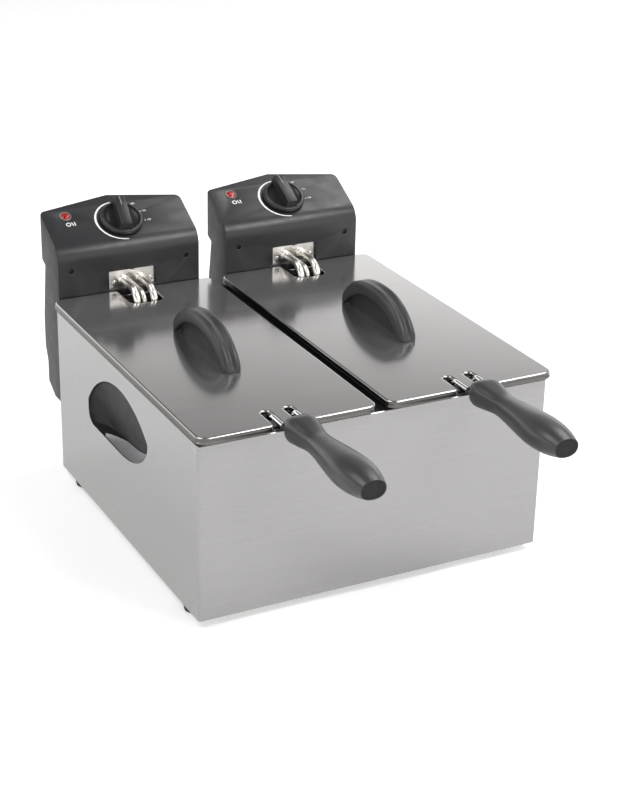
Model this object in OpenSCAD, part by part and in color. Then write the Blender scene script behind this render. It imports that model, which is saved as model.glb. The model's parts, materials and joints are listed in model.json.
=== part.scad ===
// Twin-tank deep fryer: one steel housing that holds two identical frying units side by side.
// Each unit has a lift-out oil tank, a lift-off control head with its heating element,
// a frying basket with a hinged handle, and a loose lid.
// X runs from left to right, Y from the front to the back, and Z up from the table.

/* [Housing] */
// Width of the steel housing
body_w = 380; // [376:2:400]
// Depth of the steel housing
body_d = 376; // [374:1:380]
// Height of the housing walls above the feet
body_h = 184; // [180:1:190]
// Height of the rubber feet
feet_h = 9; // [6:1:14]
// Distance between the middles of the two frying units
unit_pitch = 198; // [196:1:204]

/* [Lid] */
// Width of one lid
lid_w = 187; // [184:1:190]
// How far a lid reaches past the front of the housing
lid_front = 8; // [6:1:10]
// Height of a lid's rim
lid_rim_h = 7; // [6:0.5:8]
// Radius of a lid's corners
lid_corner_r = 11; // [8:1:14]
// Length of a lid handle
lid_handle_l = 134; // [120:2:140]
// Height of a lid handle above the lid
lid_handle_h = 39; // [34:1:42]
// Width of a lid handle
lid_handle_w = 20; // [18:1:24]

/* [Tank] */
// Width of an oil tank
tank_w = 142; // [136:2:142]
// Depth of an oil tank below the housing's deck
tank_h = 140; // [136:1:142]
// Radius of the tank's upright corners
tank_corner_r = 24; // [16:1:30]

/* [Control head] */
// Width of a control head
head_w = 165; // [160:1:168]
// Depth of a control head at its sides
head_side_d = 55; // [53:1:58]
// Depth of a control head at its middle
head_mid_d = 67; // [62:1:70]
// Slope of the control panel in degrees
panel_slope = 28; // [24:1:30]
// Radius of the control knob
knob_r = 24; // [22:1:25]
// Height of the control knob
knob_h = 17; // [14:1:20]

/* [Basket] */
// Width of a frying basket
basket_w = 118; // [110:2:118]
// Length of a frying basket
basket_l = 286; // [270:2:290]
// Height of a frying basket
basket_h = 80; // [70:2:84]
// Distance from the housing's front to the front end of a basket grip
grip_reach = 165; // [150:5:180]
// Distance between the two wires of a basket handle
wire_gap = 24; // [22:1:26]

/* [Hidden] */
$fn = 48;
LEFT = -1;
RIGHT = 1;
SIDES = [LEFT, RIGHT];
steel = "silver";
bright_steel = "gainsboro";
dark_plastic = "dimgray";
black_plastic = [0.13, 0.13, 0.14];

// Clearances and sheet thicknesses
slip = 0.6;
sheet_t = 1;
lid_t = 1.2;
wall_t = 2.5;

// Housing levels
deck_t = 2;
body_z = feet_h;
deck_z = body_z + body_h;
base_t = 1.5;
foot_r = 10;
foot_well_r = 5;
foot_well_h = 3;
foot_inset_x = 11.5;
foot_inset_y = 39;

// Grip cups in the side walls
cup_y0 = 122;
cup_l = 163;
cup_z0 = body_z + 93;
cup_h = 71;
cup_apex_y = 197;
cup_arch_r = 107;
cup_front_r = 38;
cup_back_r = 14;
cup_depth = 17;
cup_t = 2;

// Lid levels: a lid's top sheet rests on the tank's rim, and its own rim ends just above the deck
lid_gap = 4;
lid_z = deck_z + lid_rim_h + lid_gap;

// Tank
tank_y0 = 6.2;
tank_l = body_d - sheet_t - 7.2 - tank_y0;
tank_z0 = deck_z - tank_h;
tank_top_z = lid_z - lid_t;
flange_w = 4.2;
flange_t = 1.5;

// Control head
head_y = body_d + 6;
head_x = -3;
head_z0 = body_z + 71;
head_step_z = body_z + 232;
head_neck_z = body_z + 224;
head_belly_z = body_z + 132;
head_waist_z = body_z + 107;
head_hip_z = body_z + 83;
head_neck_d = 45;
head_waist_d = 44;
head_toe_d = 24;
panel_z = body_z + 247;
bend_r = 22;
front_t = 2.5;
window_w = 54;
window_z0 = body_z + 196;
window_h = 21;
knob_s = 35;
lamp_x = -59;
lamp_s = 51;
lamp_r = 6.5;
shaft_r = 3;
run_gap = 0.05;
head_screw_x = 67;
head_screw_z = body_z + 224;
reset_x = 40;
reset_z = body_z + 170;
reset_r = 3.4;
gland_x = 48;
gland_z = head_waist_z - 12;
gland_r = 9;
cable_r = 3.8;
plunger_y = head_y + 14;
plunger_r = 2;
rail_gap = 0.6;
rail_top_z = body_z + 156;
rail_w = 6;
rail_head_w = 14;
rail_t = 2;
rail_z0 = head_z0 + 4;
shelf_w = 60;
shelf_foot_h = 20;
plate_t = 1.5;
plate_lap_x = 6;
plate_lap_z = 5;
plate_screw_r = 1.6;
plate_screw_x = window_w / 2 - 6;
sensor_drop = 5.5;

// Heating element: legs through the plate, down behind the basket, and two loops over the tank floor
rod_r = 4;
leg_x = 10;
leg_z = body_z + 205;
plate_screw_z = leg_z - 2;
leg_y = 344;
leg_bend_r = 16;
loop_z = tank_z0 + 16;
loop_out_x = 54;
loop_in_x = 24;
loop_front_y = 62;
turn_r = 12;
sensor_r = 3;
sensor_z = loop_z + rod_r + sensor_r + 2;

// Lid
lid_back = head_y - 1;
lid_l = lid_back + lid_front;
slot_w = 9;
slot_end_y = 26;
notch_w = 36;
notch_front_y = 336;
handle_y = 185;
handle_r = (pow(lid_handle_l / 2, 2) + pow(lid_handle_h, 2)) / (2 * lid_handle_h);
recess_h = 25;
recess_l = 126;
recess_r = (pow(recess_l / 2, 2) + pow(recess_h, 2)) / (2 * recess_h);
recess_depth = 6.5;
handle_screw_gap = 64;
screw_r = 1.9;
notch_r = 8;

// Basket and its handle
basket_y0 = 34;
basket_z0 = tank_z0 + 42;
basket_wire_r = 2;
basket_corner_r = 6;
mesh_t = 1;
mesh_pitch = 24;
mesh_bar = 3;
mesh_gap = 0.2;
mesh_end_gap = 2.4;
wire_r = 2.25;
wire_bend_r = 8;
wire_z = lid_z + 2;
pivot_y = 13;
pivot_z = wire_z - wire_bend_r;
grip_y = -18;
grip_l = grip_reach + grip_y;
grip_half_h = 15;
grip_socket_l = 40;
grip_flare_r = 16.5;
grip_neck_r = 14.8;
grip_palm_r = 19;
grip_end_r = 9;
ear_t = 2;
ear_x = 8;
ear_lap = 3.8;
ear_drop = 7;
bracket_lap = 30;

// The origin is under the middle of the whole object
back_y = head_y + head_mid_d;
mid_y = (back_y - grip_reach) / 2;

// ---------------------------------------------------------------- shared shapes

// Moves a shape from the housing's front edge to the object's own origin
module seat() {
    translate([0, -mid_y, 0])
        children();
}

// Moves a shape to the middle of the left or right frying unit
module unit(side) {
    seat()
        translate([side * unit_pitch / 2, 0, 0])
            children();
}

// A flat rectangle from one corner, with round corners
module rounded_rect(w, l, r) {
    translate([r, 0])
        square([w - 2 * r, l]);
    translate([0, r])
        square([w, l - 2 * r]);
    for (x = [r, w - r])
        for (y = [r, l - r])
            translate([x, y])
                circle(r);
}

// A round-cornered block, centred on X, from y0 and z0
module rounded_block(w, l, h, r, y0, z0) {
    translate([-w / 2, y0, z0])
        linear_extrude(h)
            rounded_rect(w, l, r);
}

// A box centred on X
module centred_box(w, y0, l, z0, h) {
    translate([-w / 2, y0, z0])
        cube([w, l, h]);
}

// An outline in Y and Z, given thickness along X about x = 0
module across(w) {
    translate([-w / 2, 0, 0])
        rotate([90, 0, 90])
            linear_extrude(w)
                children();
}

// A round bar between two points that differ along one axis only
module bar(a, b, r) {
    d = b - a;
    length = norm(d);
    turn = d.x != 0 ? [0, 90 * sign(d.x), 0] : d.y != 0 ? [-90 * sign(d.y), 0, 0] : [d.z > 0 ? 0 : 180, 0, 0];
    translate(a)
        rotate(turn)
            cylinder(h = length, r = r);
}

// A bent round bar, flat in X and Y: starts at angle a0 and sweeps on through the angle given
module flat_bend(centre, bend, r, a0, sweep) {
    translate(centre)
        rotate([0, 0, a0])
            rotate_extrude(angle = sweep)
                translate([bend, 0])
                    circle(r);
}

// A quarter bend of round bar in the Y-Z plane about a centre, starting at angle a0 from +Y towards +Z
module upright_bend(centre, bend, r, a0) {
    translate(centre)
        rotate([90, 0, 90])
            rotate([0, 0, a0])
                rotate_extrude(angle = 90)
                    translate([bend, 0])
                        circle(r);
}

// ---------------------------------------------------------------- housing

// The grip opening in a side wall, in Y and Z: an arch that is fuller towards the front, over a flat
// sill that ends in a wide round corner in front and a small one behind
module cup_outline(grow) {
    y0 = cup_y0 - grow;
    y1 = cup_y0 + cup_l + grow;
    z0 = cup_z0 - grow;
    z1 = cup_z0 + cup_h + cup_back_r;
    front_r = cup_front_r + grow;
    back_r = cup_back_r + grow;
    intersection() {
        translate([cup_apex_y, cup_z0 + cup_h - cup_arch_r])
            circle(cup_arch_r + grow);
        union() {
            polygon([[y0 + front_r, z0], [y1 - back_r, z0], [y1, z0 + back_r], [y1, z1], [y0, z1], [y0, z0 + front_r]]);
            translate([y0 + front_r, z0 + front_r])
                circle(front_r);
            translate([y1 - back_r, z0 + back_r])
                circle(back_r);
        }
    }
}

module housing_shell() {
    color(steel)
        seat()
            difference() {
                rounded_block(body_w, body_d, body_h, 3, 0, body_z);
                rounded_block(body_w - 2 * sheet_t, body_d - 2 * sheet_t, body_h + 2, 2, sheet_t, body_z - 1);
                across(body_w + 2)
                    cup_outline(0);
            }
}

module top_deck() {
    color(dark_plastic)
        seat()
            difference() {
                rounded_block(body_w - 2 * sheet_t, body_d - 2 * sheet_t, deck_t, 2, sheet_t, deck_z - deck_t);
                for (side = SIDES)
                    translate([side * unit_pitch / 2, 0, 0])
                        rounded_block(tank_w + slip, tank_l + slip, deck_t + 2, tank_corner_r,
                            tank_y0 - slip / 2, deck_z - deck_t - 1);
            }
}

module at_feet() {
    for (x = [-body_w / 2 + foot_inset_x, body_w / 2 - foot_inset_x])
        for (y = [foot_inset_y, body_d - foot_inset_y])
            translate([x, y, 0])
                children();
}

module base_plate() {
    color(steel)
        seat()
            difference() {
                rounded_block(body_w - 2 * sheet_t, body_d - 2 * sheet_t, base_t, 2, sheet_t, body_z);
                at_feet()
                    translate([0, 0, body_z - 1])
                        cylinder(h = base_t + 2, r = screw_r);
            }
}

module rubber_feet() {
    color(black_plastic)
        seat()
            at_feet()
                difference() {
                    cylinder(h = feet_h, r = foot_r);
                    translate([0, 0, -1])
                        cylinder(h = foot_well_h + 1, r = foot_well_r);
                    cylinder(h = feet_h + 1, r = screw_r);
                }
}

module foot_screws() {
    color(bright_steel)
        seat()
            at_feet() {
                translate([0, 0, 3])
                    cylinder(h = body_z + base_t, r = screw_r);
                translate([0, 0, 1])
                    cylinder(h = 2, r = 4);
            }
}

// A vaulted cup behind the opening: a flat sill below, an arch above, closed at the back
module grip_cup(side) {
    color(dark_plastic)
        seat()
            translate([side * (body_w / 2 - sheet_t - cup_depth / 2), 0, 0])
                difference() {
                    across(cup_depth)
                        cup_outline(cup_t);
                    translate([side * cup_t, 0, 0])
                        across(cup_depth)
                            cup_outline(0);
                }
}

// For each unit: a T-shaped guide rail, and a shelf that carries the head and presses its switch
module head_rails() {
    rail_head_y = head_y + front_t + rail_gap;
    color(steel)
        seat()
            for (side = SIDES)
                translate([side * unit_pitch / 2, 0, 0]) {
                    centred_box(rail_w, body_d, rail_head_y - body_d, rail_z0, rail_top_z - rail_z0);
                    centred_box(rail_head_w, rail_head_y, rail_t, rail_z0, rail_top_z - rail_z0);
                    centred_box(shelf_w, body_d, plunger_y + 6 - body_d, head_z0 - rail_t, rail_t);
                    centred_box(shelf_w, body_d, rail_t, head_z0 - rail_t - shelf_foot_h, shelf_foot_h);
                }
}

// ---------------------------------------------------------------- oil tank

module oil_tank(side) {
    inner_r = tank_corner_r - sheet_t;
    color("gray")
        unit(side)
            difference() {
                union() {
                    rounded_block(tank_w, tank_l, tank_top_z - tank_z0, tank_corner_r, tank_y0, tank_z0);
                    rounded_block(tank_w + 2 * flange_w, tank_l + 2 * flange_w, flange_t, tank_corner_r + flange_w,
                        tank_y0 - flange_w, deck_z);
                }
                rounded_block(tank_w - 2 * sheet_t, tank_l - 2 * sheet_t, tank_top_z - tank_z0, inner_r,
                    tank_y0 + sheet_t, tank_z0 + sheet_t);
            }
}

// ---------------------------------------------------------------- control head

// Height of the panel's face, or of a face inset below it, at a given distance behind the front face
function panel_height(y, inset) = panel_z + (y - head_y) * tan(panel_slope) - inset / cos(panel_slope);

// The round bend between the front face and the panel, as points of an arc
function bend_points(inset) =
    let (
        r = bend_r - inset,
        y = head_y + inset + r,
        z = panel_height(y, inset) - r / cos(panel_slope)
    )
    [for (i = [0 : 6]) let (a = 180 - i * (90 - panel_slope) / 6) [y + r * cos(a), z + r * sin(a)]];

// The head's outline in Y and Z, all faces inset by the same amount
function head_outline(inset) = concat(
    [[head_y + inset, head_z0 + inset]],
    bend_points(inset),
    [
        [back_y - inset, panel_height(back_y - inset, inset)],
        [back_y - inset, head_step_z + inset],
        [head_y + head_neck_d - inset, head_neck_z + inset],
        [head_y + head_side_d - inset, head_belly_z],
        [head_y + head_waist_d - inset, head_waist_z],
        [head_y + head_waist_d - inset, head_hip_z + inset],
        [head_y + head_toe_d, head_z0 + inset]
    ]
);

// Plan of the head: a flat front and a back that comes to a shallow point in the middle
module head_plan(inset) {
    half = head_w / 2 - inset;
    polygon([
        [-half, head_y - 1],
        [half, head_y - 1],
        [half, head_y + head_side_d - inset],
        [0, back_y - inset],
        [-half, head_y + head_side_d - inset]
    ]);
}

// Everything behind the front cover's inner face
module behind_cover() {
    reach = back_y + 20;
    across(head_w + 2)
        polygon(concat(
            [[head_y + front_t, head_z0 - 20]],
            bend_points(front_t),
            [[reach, panel_height(reach, front_t)], [reach, head_z0 - 20]]
        ));
}

// The solid envelope of the head, all faces inset by the same amount
module head_envelope(inset) {
    intersection() {
        across(head_w - 2 * inset)
            polygon(head_outline(inset));
        linear_extrude(panel_z + head_w)
            head_plan(inset);
    }
}

// Places a shape on the sloped panel: x across, s up the slope, with Z pointing out of the panel
module on_panel(x, s) {
    translate([x, head_y + s * cos(panel_slope), panel_z + s * sin(panel_slope)])
        rotate([panel_slope, 0, 0])
            children();
}

module head(side) {
    unit(side)
        translate([head_x, 0, 0])
            children();
}

module head_front_cover(side) {
    color(dark_plastic)
        head(side)
            difference() {
                head_envelope(0);
                behind_cover();
                translate([-head_x, 0, 0])
                    centred_box(window_w, head_y - 1, front_t + 2, window_z0, window_h);
                on_panel(-head_x, knob_s)
                    translate([0, 0, -bend_r])
                        cylinder(h = 2 * bend_r, r = shaft_r + slip);
                on_panel(lamp_x - head_x, lamp_s)
                    translate([0, 0, -bend_r])
                        cylinder(h = 2 * bend_r, r = lamp_r);
                for (x = [-head_screw_x, head_screw_x])
                    translate([x, head_y - 1, head_screw_z])
                        rotate([-90, 0, 0])
                            cylinder(h = front_t + 2, r = 1.5);
                // Slot that rides on the guide rail
                translate([-head_x, 0, 0])
                    centred_box(rail_w + 2 * slip, head_y - 1, front_t + 2, head_z0 - 1, rail_top_z - head_z0 + 3);
            }
}

module head_rear_cover(side) {
    color([0.2, 0.2, 0.21])
        head(side)
            difference() {
                union() {
                    difference() {
                        intersection() {
                            head_envelope(0);
                            behind_cover();
                        }
                        rear_cavity();
                    }
                    screw_ribs();
                }
                for (x = [-head_screw_x, head_screw_x])
                    translate([x, head_y, head_screw_z])
                        rotate([-90, 0, 0])
                            cylinder(h = 18, r = 1.5);
                // Reset button hole
                translate([reset_x, head_y + 20, reset_z])
                    rotate([-90, 0, 0])
                        cylinder(h = 40, r = reset_r + run_gap);
                // Cord outlet
                translate([gland_x, head_y + 20, gland_z])
                    rotate([-90, 0, 0])
                        cylinder(h = 40, r = gland_r - 2);
                // Plunger hole
                translate([-head_x, plunger_y, head_z0 - 1])
                    cylinder(h = 6, r = plunger_r + run_gap);
                // Way for the guide rail
                translate([-head_x, 0, 0])
                    centred_box(rail_head_w + 2 * slip, head_y, front_t + rail_gap + rail_t + slip, head_z0 - 1, 8);
            }
}

// The space inside the rear cover, open towards the front cover
module rear_cavity() {
    intersection() {
        across(head_w - 2 * wall_t)
            polygon(head_outline(wall_t));
        linear_extrude(panel_z + head_w)
            head_plan(wall_t);
    }
}

// Ribs on the side walls that take the front screws
module screw_ribs() {
    for (side = SIDES)
        translate([side * (head_w / 2 + head_screw_x - 4) / 2, 0, 0])
            centred_box(head_w / 2 - head_screw_x + 2, head_y + front_t, 16, head_screw_z - 3, 6);
}

module head_screws(side) {
    color("gray")
        head(side)
            for (x = [-head_screw_x, head_screw_x])
                translate([x, head_y + 0.6, head_screw_z])
                    rotate([-90, 0, 0])
                        cylinder(h = 15, r = 1.5);
}

module element_plate(side) {
    color(bright_steel)
        unit(side)
            difference() {
                centred_box(window_w + 2 * plate_lap_x, head_y + front_t, plate_t, window_z0 - plate_lap_z,
                    window_h + 2 * plate_lap_z);
                for (x = [-leg_x, leg_x])
                    plate_hole(x, leg_z, rod_r);
                plate_hole(0, leg_z - sensor_drop, sensor_r);
                for (x = [-plate_screw_x, plate_screw_x])
                    plate_hole(x, plate_screw_z, plate_screw_r);
            }
}

module plate_hole(x, z, r) {
    translate([x, head_y, z])
        rotate([-90, 0, 0])
            cylinder(h = 10, r = r);
}

module plate_screws(side) {
    color("gray")
        unit(side)
            for (x = [-plate_screw_x, plate_screw_x])
                translate([x, head_y + front_t, plate_screw_z])
                    rotate([-90, 0, 0]) {
                        cylinder(h = 8, r = plate_screw_r);
                        translate([0, 0, -1.4])
                            cylinder(h = 1.4, r = 3);
                    }
}

// One half of the element, on the side that s names: leg, shoulder, outer run and front loop
module element_half(s) {
    elbow_y = leg_y + leg_bend_r;
    heel_y = leg_y - leg_bend_r;
    back_run_y = heel_y - 4 - turn_r;
    side_run_y = back_run_y - turn_r;
    loop_r = (loop_out_x - loop_in_x) / 2;
    tail_y = loop_front_y + loop_r;
    bar([s * leg_x, head_y + 18, leg_z], [s * leg_x, elbow_y, leg_z], rod_r);
    upright_bend([s * leg_x, elbow_y, leg_z - leg_bend_r], leg_bend_r, rod_r, 90);
    bar([s * leg_x, leg_y, leg_z - leg_bend_r], [s * leg_x, leg_y, loop_z + leg_bend_r], rod_r);
    upright_bend([s * leg_x, heel_y, loop_z + leg_bend_r], leg_bend_r, rod_r, 270);
    bar([s * leg_x, heel_y, loop_z], [s * leg_x, heel_y - 4, loop_z], rod_r);
    flat_bend([s * (leg_x + turn_r), heel_y - 4, loop_z], turn_r, rod_r, s > 0 ? 180 : 270, 90);
    bar([s * (leg_x + turn_r), back_run_y, loop_z], [s * (loop_out_x - turn_r), back_run_y, loop_z], rod_r);
    flat_bend([s * (loop_out_x - turn_r), side_run_y, loop_z], turn_r, rod_r, s > 0 ? 0 : 90, 90);
    bar([s * loop_out_x, side_run_y, loop_z], [s * loop_out_x, tail_y, loop_z], rod_r);
    flat_bend([s * (loop_in_x + loop_r), tail_y, loop_z], loop_r, rod_r, 180, 180);
    bar([s * loop_in_x, tail_y, loop_z], [s * loop_in_x, middle_turn_y(), loop_z], rod_r);
}

// Where the two inner runs meet in the middle turn, clear of the shoulders behind it
function middle_turn_y() = leg_y - leg_bend_r - 4 - turn_r - 2 * rod_r - 4 - loop_in_x;

module heating_element(side) {
    color("gray")
        unit(side) {
            element_half(LEFT);
            element_half(RIGHT);
            flat_bend([0, middle_turn_y(), loop_z], loop_in_x, rod_r, 0, 180);
        }
}

module sensor_tube(side) {
    bend = 12;
    drop_y = leg_y + 4;
    top_z = leg_z - sensor_drop;
    color("gray")
        unit(side) {
            bar([0, head_y + 14, top_z], [0, drop_y + bend, top_z], sensor_r);
            upright_bend([0, drop_y + bend, top_z - bend], bend, sensor_r, 90);
            bar([0, drop_y, top_z - bend], [0, drop_y, sensor_z + bend], sensor_r);
            upright_bend([0, drop_y - bend, sensor_z + bend], bend, sensor_r, 270);
            bar([0, drop_y - bend, sensor_z], [0, drop_y - 150, sensor_z], sensor_r);
        }
}

module thermostat(side) {
    color("tan")
        unit(side)
            on_panel(0, knob_s)
                difference() {
                    union() {
                        translate([0, 0, -26])
                            cylinder(h = 20, r = 15);
                        translate([0, 0, -6])
                            cylinder(h = 6 - front_t, r = 5);
                    }
                    translate([0, 0, -20])
                        cylinder(h = 30, r = shaft_r + run_gap);
                }
}

module thermostat_shaft(side) {
    color(bright_steel)
        unit(side)
            on_panel(0, knob_s)
                translate([0, 0, -18])
                    cylinder(h = 28, r = shaft_r);
}

module control_knob(side) {
    skirt_h = 6;
    color(black_plastic)
        unit(side)
            on_panel(0, knob_s)
                difference() {
                    union() {
                        translate([0, 0, 0.8])
                            cylinder(h = skirt_h - 0.8, r = knob_r);
                        translate([0, 0, skirt_h])
                            intersection() {
                                cylinder(h = knob_h - skirt_h, r = knob_r);
                                translate([-7, -knob_r, 0])
                                    cube([14, 2 * knob_r, knob_h]);
                            }
                    }
                    cylinder(h = 10, r = shaft_r);
                }
}

module pilot_lamp(side) {
    color([0.7, 0.08, 0.06])
        unit(side)
            on_panel(lamp_x, lamp_s)
                translate([0, 0, -12])
                    cylinder(h = 13.2, r = lamp_r);
}

module thermal_cutout(side) {
    color("tan")
        head(side)
            translate([reset_x - 9, head_y + 22, reset_z - 9])
                difference() {
                    cube([18, 14, 18]);
                    translate([9, 6, 9])
                        rotate([-90, 0, 0])
                            cylinder(h = 10, r = reset_r - 1);
                }
}

module reset_button(side) {
    skin_y = head_y + head_neck_d
        + (head_side_d - head_neck_d) * (head_neck_z - reset_z) / (head_neck_z - head_belly_z);
    color("firebrick")
        head(side)
            translate([reset_x, head_y + 30.5, reset_z])
                rotate([-90, 0, 0]) {
                    cylinder(h = 8, r = reset_r - 1.4);
                    translate([0, 0, 8])
                        cylinder(h = skin_y - head_y - 38.5 + 1, r = reset_r);
                }
}

module interlock_switch(side) {
    color("tan")
        unit(side)
            difference() {
                centred_box(20, plunger_y - 5, 10, head_z0 + 8, 16);
                translate([0, plunger_y, head_z0 + 7])
                    cylinder(h = 10, r = plunger_r + run_gap);
            }
}

module interlock_plunger(side) {
    color("firebrick")
        unit(side)
            translate([0, plunger_y, head_z0])
                cylinder(h = 13, r = plunger_r);
}

module terminal_block(side) {
    color("ivory")
        head(side)
            centred_box(44, head_y + 24, 14, body_z + 140, 12);
}

// The flanged sleeve that the mains cord leaves by
module cord_gland(side) {
    wall_y = head_y + head_waist_d;
    color(black_plastic)
        head(side)
            translate([gland_x, wall_y - 8, gland_z])
                rotate([-90, 0, 0])
                    difference() {
                        union() {
                            cylinder(h = 14, r = gland_r - 2);
                            translate([0, 0, 8])
                                cylinder(h = 3, r = gland_r);
                        }
                        translate([0, 0, -1])
                            cylinder(h = 16, r = cable_r);
                    }
}

// ---------------------------------------------------------------- basket

// A level ring of round wire with round corners
module wire_ring(w, y0, l, z) {
    r = basket_corner_r;
    for (s = SIDES)
        bar([s * w / 2, y0 + r, z], [s * w / 2, y0 + l - r, z], basket_wire_r);
    for (y = [y0, y0 + l])
        bar([-w / 2 + r, y, z], [w / 2 - r, y, z], basket_wire_r);
    flat_bend([w / 2 - r, y0 + l - r, z], r, basket_wire_r, 0, 90);
    flat_bend([-w / 2 + r, y0 + l - r, z], r, basket_wire_r, 90, 90);
    flat_bend([-w / 2 + r, y0 + r, z], r, basket_wire_r, 180, 90);
    flat_bend([w / 2 - r, y0 + r, z], r, basket_wire_r, 270, 90);
}

module basket_frame(side) {
    color(bright_steel)
        unit(side) {
            wire_ring(basket_w, basket_y0, basket_l, basket_z0);
            wire_ring(basket_w, basket_y0, basket_l, basket_z0 + basket_h);
            for (s = SIDES)
                for (y = [basket_y0 + basket_l / 4, basket_y0 + basket_l * 3 / 4])
                    bar([s * basket_w / 2, y, basket_z0], [s * basket_w / 2, y, basket_z0 + basket_h], basket_wire_r);
        }
}

// A flat panel of square mesh
module mesh_panel(w, h) {
    cols = floor((w - mesh_bar) / mesh_pitch);
    rows = floor((h - mesh_bar) / mesh_pitch);
    dx = (w - mesh_bar) / cols;
    dy = (h - mesh_bar) / rows;
    linear_extrude(mesh_t)
        difference() {
            square([w, h]);
            for (i = [0 : cols - 1])
                for (j = [0 : rows - 1])
                    translate([mesh_bar + i * dx, mesh_bar + j * dy])
                        square([dx - mesh_bar, dy - mesh_bar]);
        }
}

// Five mesh panels just inside the wire rings, with their ends clear of the rings' round corners
module basket_mesh(side) {
    in_w = basket_w - 2 * basket_wire_r;
    in_l = basket_l - 2 * basket_wire_r;
    y0 = basket_y0 + basket_wire_r;
    edge = mesh_t + mesh_gap;
    color(steel)
        unit(side) {
            for (s = SIDES)
                translate([s * (in_w / 2 - mesh_t / 2) - mesh_t / 2, y0 + mesh_end_gap, basket_z0])
                    rotate([90, 0, 90])
                        mesh_panel(in_l - 2 * mesh_end_gap, basket_h);
            for (y = [y0 + mesh_t, y0 + in_l])
                translate([-in_w / 2 + mesh_end_gap, y, basket_z0])
                    rotate([90, 0, 0])
                        mesh_panel(in_w - 2 * mesh_end_gap, basket_h);
            translate([-in_w / 2 + edge, y0 + edge, basket_z0])
                mesh_panel(in_w - 2 * edge, in_l - 2 * edge);
        }
}

// A strip up from the basket's front wire, with two ears that hold the handle's pins
module basket_bracket(side) {
    strip_y = basket_y0 - basket_wire_r - ear_t;
    strip_z = basket_z0 + basket_h - bracket_lap;
    ear_top = pivot_z + ear_lap;
    color(bright_steel)
        unit(side) {
            centred_box(2 * ear_x + ear_t, strip_y, ear_t, strip_z, ear_top - strip_z);
            for (s = SIDES)
                translate([s * ear_x, 0, 0])
                    difference() {
                        centred_box(ear_t, pivot_y - ear_lap, strip_y - pivot_y + ear_lap, pivot_z - ear_drop,
                            ear_drop + ear_lap);
                        translate([-ear_t, pivot_y, pivot_z])
                            rotate([0, 90, 0])
                                cylinder(h = 2 * ear_t, r = wire_r + run_gap);
                    }
        }
}

// Two chromed wires: each has a pin in its ear, bends up through the lid's slot and runs to the grip
module handle_wires(side) {
    color(bright_steel)
        unit(side)
            for (s = SIDES) {
                x = s * wire_gap / 2;
                bar([s * (ear_x - ear_t), pivot_y, pivot_z], [x, pivot_y, pivot_z], wire_r);
                translate([x, pivot_y, pivot_z])
                    sphere(wire_r);
                upright_bend([x, pivot_y - wire_bend_r, pivot_z], wire_bend_r, wire_r, 0);
                bar([x, pivot_y - wire_bend_r, wire_z], [x, grip_y - grip_socket_l + 1, wire_z], wire_r);
            }
}

// The grip is turned about its own length, then kept flat above and below
module handle_grip(side) {
    steps = 20;
    color(black_plastic)
        unit(side)
            difference() {
                translate([0, grip_y, wire_z])
                    rotate([90, 0, 0])
                        intersection() {
                            rotate_extrude()
                                polygon(concat(
                                    [[0, 0]],
                                    [for (i = [0 : steps]) [grip_profile(i / steps), grip_l * i / steps]],
                                    [[0, grip_l]]
                                ));
                            translate([-30, -grip_half_h, -1])
                                cube([60, 2 * grip_half_h, grip_l + 2]);
                        }
                for (s = SIDES)
                    translate([s * wire_gap / 2, grip_y + 1, wire_z])
                        rotate([90, 0, 0])
                            cylinder(h = grip_socket_l, r = wire_r);
            }
}

// Flared basket end, narrow neck, full palm and a narrower free end
function grip_profile(t) =
    t < 0.3 ? grip_neck_r + (grip_flare_r - grip_neck_r) * (1 + cos(t / 0.3 * 180)) / 2
    : t < 0.65 ? grip_neck_r + (grip_palm_r - grip_neck_r) * (1 - cos((t - 0.3) / 0.35 * 180)) / 2
    : grip_end_r + (grip_palm_r - grip_end_r) * sqrt(1 - pow((t - 0.65) / 0.35, 2) * 0.98);

// ---------------------------------------------------------------- lid

module lid_panel(side) {
    color(steel)
        unit(side)
            difference() {
                rounded_block(lid_w, lid_l, lid_rim_h, lid_corner_r, -lid_front, lid_z - lid_rim_h);
                rounded_block(lid_w - 2 * lid_t, lid_l - 2 * lid_t, lid_rim_h, lid_corner_r - lid_t,
                    -lid_front + lid_t, lid_z - lid_rim_h - lid_t);
                for (s = SIDES)
                    translate([s * wire_gap / 2, 0, 0]) {
                        centred_box(slot_w, -lid_front - 1, slot_end_y + lid_front + 1 - slot_w / 2,
                            lid_z - lid_rim_h - 1, lid_rim_h + 2);
                        translate([0, slot_end_y - slot_w / 2, lid_z - 2 * lid_t])
                            cylinder(h = 3 * lid_t, r = slot_w / 2);
                    }
                rounded_block(notch_w, lid_back, lid_rim_h + 2, notch_r, notch_front_y, lid_z - lid_rim_h - 1);
                for (y = [handle_y - handle_screw_gap / 2, handle_y + handle_screw_gap / 2])
                    translate([0, y, lid_z - 2 * lid_t])
                        cylinder(h = 3 * lid_t, r = screw_r);
            }
}

// A segment of a disc above a flat base: chord length, height and radius of the arch
module arch(l, h, r) {
    intersection() {
        translate([0, h - r])
            circle(r, $fn = 96);
        translate([-l / 2, 0])
            square([l, h]);
    }
}

module lid_handle(side) {
    color(black_plastic)
        unit(side)
            translate([0, handle_y, lid_z])
                difference() {
                    across(lid_handle_w)
                        arch(lid_handle_l, lid_handle_h, handle_r);
                    for (s = SIDES)
                        translate([s * (lid_handle_w / 2 + 1 - (recess_depth + 1) / 2 + 0.5), 0, -0.5])
                            across(recess_depth + 1)
                                arch(recess_l, recess_h, recess_r);
                    for (y = [-handle_screw_gap / 2, handle_screw_gap / 2])
                        translate([0, y, -1])
                            cylinder(h = 15, r = screw_r);
                }
}

module lid_screws(side) {
    color("gray")
        unit(side)
            for (y = [handle_y - handle_screw_gap / 2, handle_y + handle_screw_gap / 2])
                translate([0, y, lid_z - lid_t]) {
                    cylinder(h = 14, r = screw_r);
                    translate([0, 0, -1.6])
                        cylinder(h = 1.6, r = 4);
                }
}

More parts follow.
